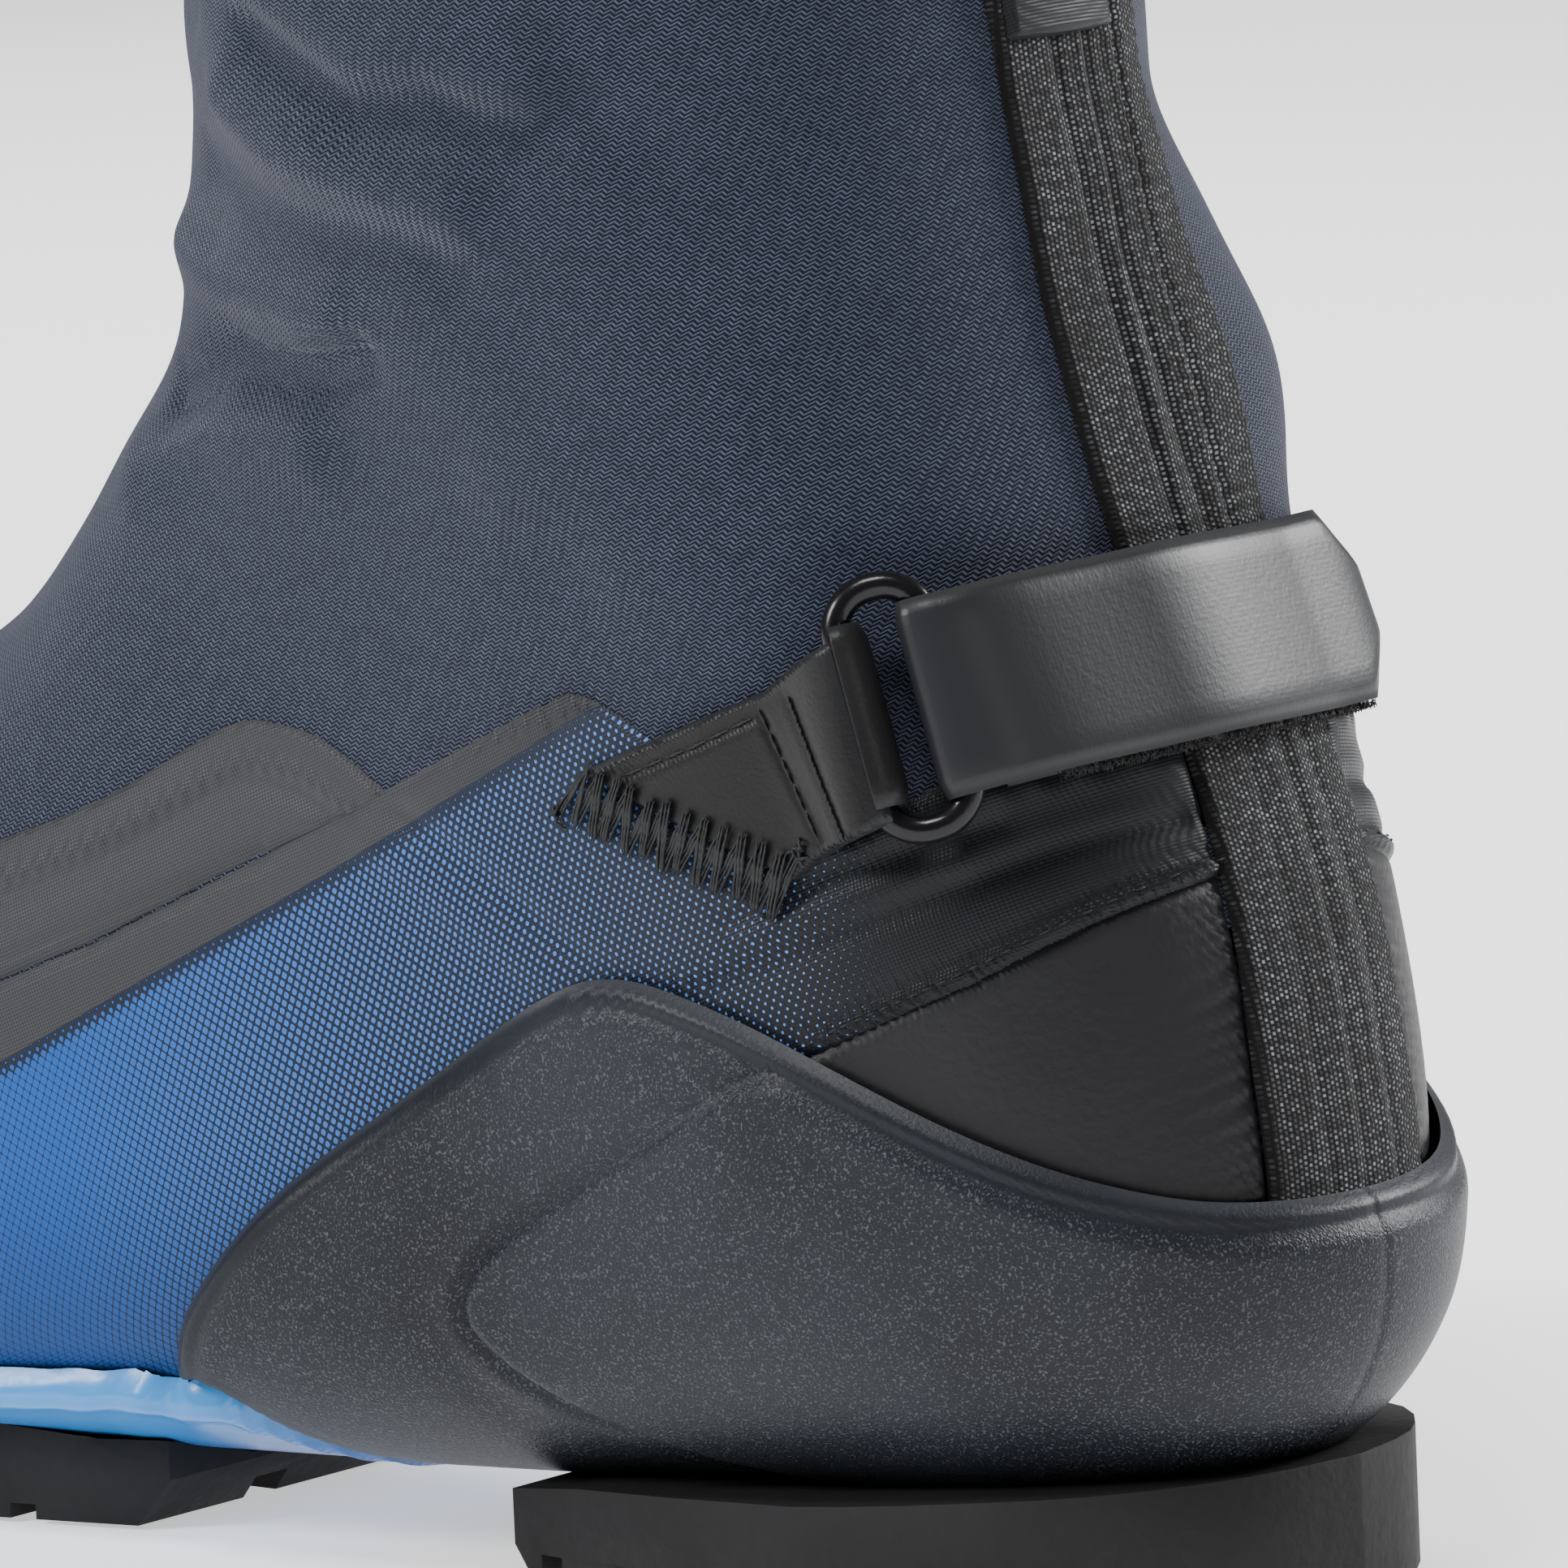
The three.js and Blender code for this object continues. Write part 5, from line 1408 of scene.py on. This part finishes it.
def makeZip():
    for word, sign in (("lateral", 1), ("medial", -1)):
        rows, columns = 90, 12
        y, z = np.meshgrid(np.linspace(0.2, zipLook["half"], columns), np.linspace(0.3, zipLook["run"], rows))
        curl = -0.35 - 0.0105 * y ** 2
        top = shinPoints(np.stack([curl, y * sign, z], -1)).reshape(-1, 3)
        low = shinPoints(np.stack([curl - 0.7, y * sign, z], -1)).reshape(-1, 3)
        index = np.arange(rows * columns).reshape(rows, columns)
        polygons = quads(rows, columns).tolist()
        polygons += [[n + rows * columns for n in f[::-1]] for f in polygons]
        border = list(index[0]) + list(index[1:, -1]) + list(index[-1, -2::-1]) + list(index[-2:0:-1, 0])
        for one, two in zip(border, border[1:] + border[:1]):
            polygons.append([one, two, two + rows * columns, one + rows * columns])
        piece = meshPiece(f"zipTape_{word}", np.vstack([top, low]), polygons, blackWebbing)
        outward(piece)
        settle(piece, "boot", "webbing", f"zip_tape_{word}")
        shift = 0 if sign > 0 else zipLook["pitch"]
        at = np.arange(2.2 + shift, 60.5, 2 * zipLook["pitch"])
        centres = shinPoints(np.stack([0 * at - 0.35, 0 * at + sign * 0.95, at], 1))
        across = np.repeat([[0, 1, 0]], len(at), 0)
        out = np.repeat([[math.cos(zipLook["lean"]), 0, math.sin(zipLook["lean"])]], len(at), 0)
        teeth = stitches(f"zipTeeth_{word}", centres, across, out, 2.4, 1.35, hardBlack,
                         "boot", "hard_plastic")
        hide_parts(f"zip_teeth_{word}")
    refined("zip_slider", "zipSlider", wireEnamel, "black_metal", "slider", 0.45, 3)
    refined("zip_puller", "zipPuller", wireEnamel, "black_metal", "puller", 0.45, 3)


def makePullLoop():
    legs, half = 20, 2.9
    line = [(0.6, 0, 2.4), (0.1, 0, 5), (-1.8, 0, 9), (-half - 0.2, 0, 14), (-half, 0, legs)]
    for k in range(1, 8):
        turn = pi - k * pi / 8
        line.append((half * math.cos(turn), 0, legs + half * math.sin(turn)))
    line += [(half, 0, legs), (half + 0.2, 0, 14), (half, 0, 7), (half, 0, 1)]
    line = smoothCurve(line, 4)
    direction = unit(np.gradient(line, axis=0))
    out = np.stack([-direction[:, 2], direction[:, 1] * 0, direction[:, 0]], 1)
    centres = line + (-7.5, 0, 164)
    across = np.repeat([[0.0, 1.0, 0.0]], len(line), 0)
    piece = bandMesh("pullLoop", centres, across, out, 7.0, 1.3, blackWebbing)
    settle(piece, "loop", "webbing", "pull_loop")
    base = layOut(15.0, 16.1, -0.2, 0.2, 0.35)

    def keep(p, a):
        return np.minimum.reduce([7.6 - np.abs(p[:, 1]), collarDrop(p) - 1.0, 13 - collarDrop(p)])

    patch = trimmed("loopPatch", base, keep, lambda p, a, d: roundEdge(d, 1.2, 2.6, 0.8), greyFilm)
    settle(patch, "boot", "grey_film")


def makeMedialPatch():
    outline = np.array([(11, 74), (15.5, 97.5), (36, 90), (33, 68)])
    grid = layOut(8.5, 12.5, -2.3, -0.8, 0.4)

    def lift(p, a, depth):
        return roundEdge(depth, 2.6, 4.4, 0.8) - 0.25 * np.exp(-((depth - 2.0) / 0.4) ** 2)

    patch = trimmed("medialPatch", grid, lambda p, a: depthIn(p[:, 0], p[:, 2], outline), lift, greyFilm)
    settle(patch, "boot", "grey_film", "strap_patch_medial")


makeCover()
makeBinding()
print("softshell sleeve made")
makePanels()
makeTape()
print("films, panels and tape made")
makeCup()
makeChassis()
makeToeCap()
print("cup, chassis and toe cap made")
makeLiner()
makeTongue()
makeZip()
makePullLoop()
print("lining, zip and pull loop made")
makeStrap()
makeRing()
makeTab()
makeMedialPatch()
makeZigzag()
makeSeams()
print("strap, ring, tab and stitches made")
finishNodes()


def plainMaterial(name, colour, roughness):
    material = bpy.data.materials.new(name)
    material.use_nodes = True
    shader = material.node_tree.nodes["Principled BSDF"]
    shader.inputs["Base Color"].default_value = (*colour, 1)
    shader.inputs["Roughness"].default_value = roughness
    return material


def makeStage():
    mesh = bpy.data.meshes.new("floor")
    corners = [(6 * x, 6 * y, -0.0005) for x, y in ((-1, -1), (1, -1), (1, 1), (-1, 1))]
    mesh.from_pydata(corners, [], [(0, 1, 2, 3)])
    paper = plainMaterial("floorPaper", (0.86, 0.86, 0.86), 0.9)
    glow = paper.node_tree.nodes["Principled BSDF"].inputs
    glow["Emission Color"].default_value = (1, 1, 1, 1)
    glow["Emission Strength"].default_value = 0.75
    mesh.materials.append(paper)
    placed("floor", mesh)
    world = bpy.data.worlds.new("studio")
    bpy.context.scene.world = world
    world.use_nodes = True
    world.node_tree.nodes["Background"].inputs[0].default_value = (0.93, 0.94, 0.96, 1)
    world.node_tree.nodes["Background"].inputs[1].default_value = 0.12
    lights = {"key": ((0.9, 1.4, 1.1), 34, 0.55), "top": ((-0.1, 0.6, 1.7), 20, 0.5),
              "rim": ((-0.7, -1.4, 0.9), 46, 0.6), "back": ((-1.6, 0.5, 0.7), 3, 0.2),
              "front": ((1.2, -0.8, 0.9), 12, 0.9)}
    for name, (place, power, size) in lights.items():
        data = bpy.data.lights.new(name, "AREA")
        data.energy, data.size = power, size
        lamp = placed(name, data)
        aim = Vector((0.06, 0, 0.09)) - Vector(place)
        lamp.matrix_world = Matrix.Translation(place) @ aim.to_track_quat("-Z", "Y").to_matrix().to_4x4()


makeStage()
print("stage made")
bpy.context.view_layer.update()
